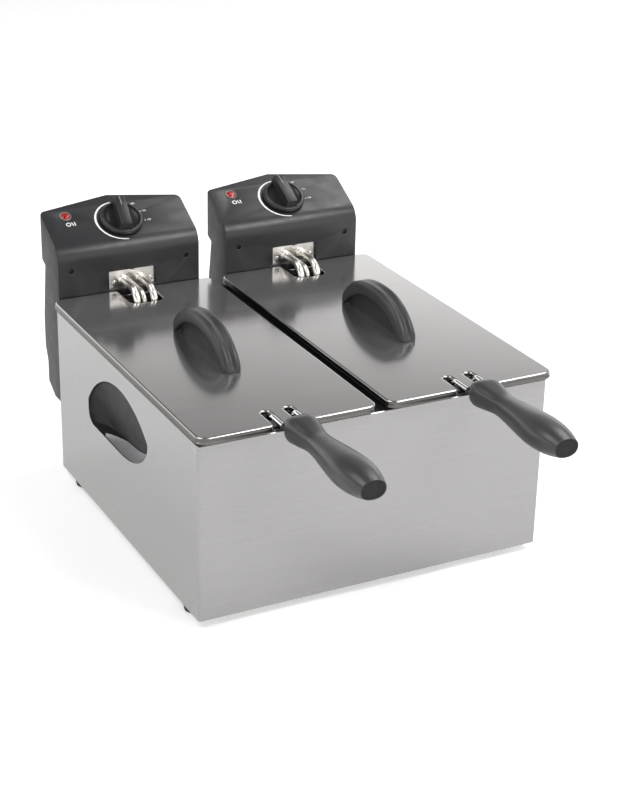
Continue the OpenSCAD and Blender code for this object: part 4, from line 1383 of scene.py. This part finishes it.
def basket(unit):
    """Wire frame, woven mesh panels and the bracket that carries the handle's pins."""
    lo, hi = unit.box("basket_frame")
    wire, corner = 0.002, 0.014
    x0, x1, y0, y1 = lo.x + wire, hi.x - wire, lo.y + wire, hi.y - wire
    z0, z1 = lo.z + wire, hi.z - wire
    plan = rounded_rect(x0, x1, y0, y1, corner)
    pieces = [closed_tube("ring", at_height(plan, z), wire) for z in (z0, z1)]
    for x in (x0, x1):
        for part in (0.25, 0.75):
            y = y0 + (y1 - y0) * part
            pieces.append(tube("post", [(x, y, z0), (x, y, z1)], wire, 16))
    unit.finish(join(unit.node("basket_wires"), pieces), "basket", "plated_wire", "basket_frame")
    gap, pitch, fine = 0.0032, 0.0052, 0.00042
    ax0, ax1, ay0, ay1 = x0 + gap, x1 - gap, y0 + gap, y1 - gap
    az0, az1 = z0 + 0.0006, z1 - 0.0004
    size_x, size_y, size_z = ax1 - ax0, ay1 - ay0, az1 - az0
    panels = [
        woven_panel(Vector((x, y, az0)), along, up, size_a, size_b, pitch, fine)
        for x, y, along, up, size_a, size_b in (
            (ax0, ay0, X_AXIS, Y_AXIS, size_x, size_y),
            (ax0, ay0, Y_AXIS, Z_AXIS, size_y, size_z), (ax1, ay0, Y_AXIS, Z_AXIS, size_y, size_z),
            (ax0, ay0, X_AXIS, Z_AXIS, size_x, size_z), (ax0, ay1, X_AXIS, Z_AXIS, size_x, size_z))
    ]
    unit.finish(join(unit.node("basket_weave"), panels), "basket", "plated_wire", "basket_mesh")
    bracket(unit)


def bracket(unit):
    """The strip on the basket's front with two ears, drilled for the handle's pins."""
    lo, hi = unit.box("basket_bracket")
    pivot = unit.handle_pivot()
    sheet, ear_x, drop = 0.002, 0.008, 0.007
    strip = rounded_rect(lo.x, hi.x, lo.z, hi.z, 0.002)
    body = prism(unit.node("pin_bracket"), strip, hi.y - sheet, hi.y, frontward)
    root_y, foot_z = hi.y - 0.0005, pivot.z - drop
    ear = filleted([
        (lo.y, foot_z, 0.003), (root_y, foot_z, 0.0002), (root_y, hi.z, 0.0002), (lo.y, hi.z, 0.003),
    ])
    for sign in (-1, 1):
        x = unit.x + sign * ear_x
        cut(body, prism("ear", ear, x - sheet / 2, x + sheet / 2, across), operation="UNION")
    pin = Matrix.Translation((unit.x - 0.02, pivot.y, pivot.z)) @ Matrix.Rotation(math.pi / 2, 4, "Y")
    cut(body, rod("pin_hole", WIRE_R + 0.00005, 0.04, 32, pin))
    soften(body, 0.0003, 2)
    unit.finish(body, "basket", "plated_wire", "basket_bracket")


def reset_button(unit):
    """The red cap on its stem."""
    lo, hi = unit.box("reset_button")
    centre = unit.middle("reset_button")
    length = hi.y - lo.y
    radius, stem, step = 0.0034, 0.002, 0.008
    profile = [(0.0, 0.0), (stem, 0.0), (stem, step), (radius, step), (radius, length - 0.0006),
               (radius - 0.0006, length), (0.0018, length - 0.0003), (0.0, length - 0.0004)]
    button = lathe(unit.node("reset_cap"), profile, 40, to_back(centre.x, lo.y, centre.z))
    unit.finish(button, "reset", "button_red", "reset_button")


# ------------------------------------------------------------------ build

CARRIED = {
    "sensor_tube": "element_steel", "thermostat": "brass_part",
    "thermostat_shaft": "plate_steel", "thermal_cutout": "ceramic_part", "interlock_switch": "switch_plastic",
    "interlock_plunger": "button_red", "terminal_block": "ceramic_part", "lid_screws": "screw_steel",
}
MADE = (
    lid, lid_handle, grip, handle_wires, head_front, head_rear, head_screws, lamp, dial_marks, knob,
    element_plate, element, cord_gland, reset_button, tank, basket,
)
units = [Unit(side) for side in SIDES]
housing()
grip_cup("left", shell_lo.x, 1)
grip_cup("right", shell_hi.x, -1)
deck()
feet()
for plain_node, plain_slot in (
        ("base_plate", "base_steel"), ("foot_screws", "screw_steel"), ("head_rails", "base_steel")):
    carry_over(plain_node, plain_slot)
for unit in units:
    for make in MADE:
        make(unit)
    for name, slot in CARRIED.items():
        carry_over(unit.node(name), slot)

# ------------------------------------------------------------------ studio

FLOOR_HALF = 12.0
FLOOR_GLOW = 0.33
AIR_HORIZON, AIR_ZENITH = 1.85, 0.22
AIR_FADE = (0.30, 0.43)
CAMERA_LENS_MM = 81.7
CAMERA_PLACE = (-0.7884, -1.5086, 0.9023)
CAMERA_RIGHT = (0.89075685, -0.45407482, 0.01919111)
CAMERA_UP = (0.16843471, 0.36904807, 0.91402039)
CAMERA_BACK = (-0.42211608, -0.81093747, 0.40521406)
LIGHTS = (
    ("key_soft", (-1.3, 0.3, 2.2), (0, 0.1, 0.1), 1.4, 1.4, 22),
    ("side_soft", (1.75, 0.85, 2.6), (0.3, 0.3, 0.1), 1.1, 1.3, 26),
    ("bend_soft", (0.7, -0.84, 1.5), (0, 0.24, 0.25), 1.1, 0.45, 19),
)


def studio_floor():
    """Plain white paper, faintly lit from below as on a light table."""
    bm = bmesh.new()
    bmesh.ops.create_grid(bm, x_segments=8, y_segments=8, size=FLOOR_HALF)
    floor = from_bmesh("studio_floor", bm)
    glow = {"Emission_Color": (1, 1, 1, 1), "Emission_Strength": FLOOR_GLOW}
    surface = Surface("floor_paper", (0.93, 0.93, 0.93), 0.7, **glow)
    surface.gloss(surface.noise(20, 2), 0.65, 0.75)
    surface.relief(surface.noise(400, 2), 0.02, 0.0001)
    floor.data.materials.append(surface.material)


def soft_light(name, place, aim, width, height, power):
    """A rectangular lamp at one point, turned to another."""
    data = bpy.data.lights.new(name, "AREA")
    data.shape = "RECTANGLE"
    data.size = width
    data.size_y = height
    data.energy = power
    light = add_object(name, data)
    light.location = place
    light.rotation_euler = (Vector(aim) - Vector(place)).to_track_quat("-Z", "Y").to_euler()


def world_light():
    """Soft air: bright near the horizon, dimmer overhead."""
    world = bpy.data.worlds.new("studio_air")
    bpy.context.scene.world = world
    world.use_nodes = True
    tree = world.node_tree
    direction = new_node(tree, "TexCoord").outputs["Generated"]
    rise = new_node(tree, "SeparateXYZ", Vector=direction).outputs["Z"]
    fade = new_node(tree, "MapRange", Value=rise, To_Min=AIR_HORIZON, To_Max=AIR_ZENITH)
    fade.interpolation_type = "SMOOTHSTEP"
    feed(fade, From_Min=AIR_FADE[0], From_Max=AIR_FADE[1])
    feed(tree.nodes["Background"], Color=(1, 1, 1, 1), Strength=fade.outputs["Result"])


def camera():
    """The camera, placed and turned as worked out from the photo."""
    data = bpy.data.cameras.new("camera")
    data.sensor_fit = "AUTO"
    data.sensor_width = 36.0
    data.lens = CAMERA_LENS_MM
    data.clip_end = 60.0
    obj = add_object("camera", data)
    turn = Matrix((CAMERA_RIGHT, CAMERA_UP, CAMERA_BACK)).transposed().to_4x4()
    obj.matrix_world = Matrix.Translation(CAMERA_PLACE) @ turn
    bpy.context.scene.camera = obj


studio_floor()
world_light()
for light_numbers in LIGHTS:
    soft_light(*light_numbers)
camera()
bpy.context.scene.view_settings.view_transform = "Standard"
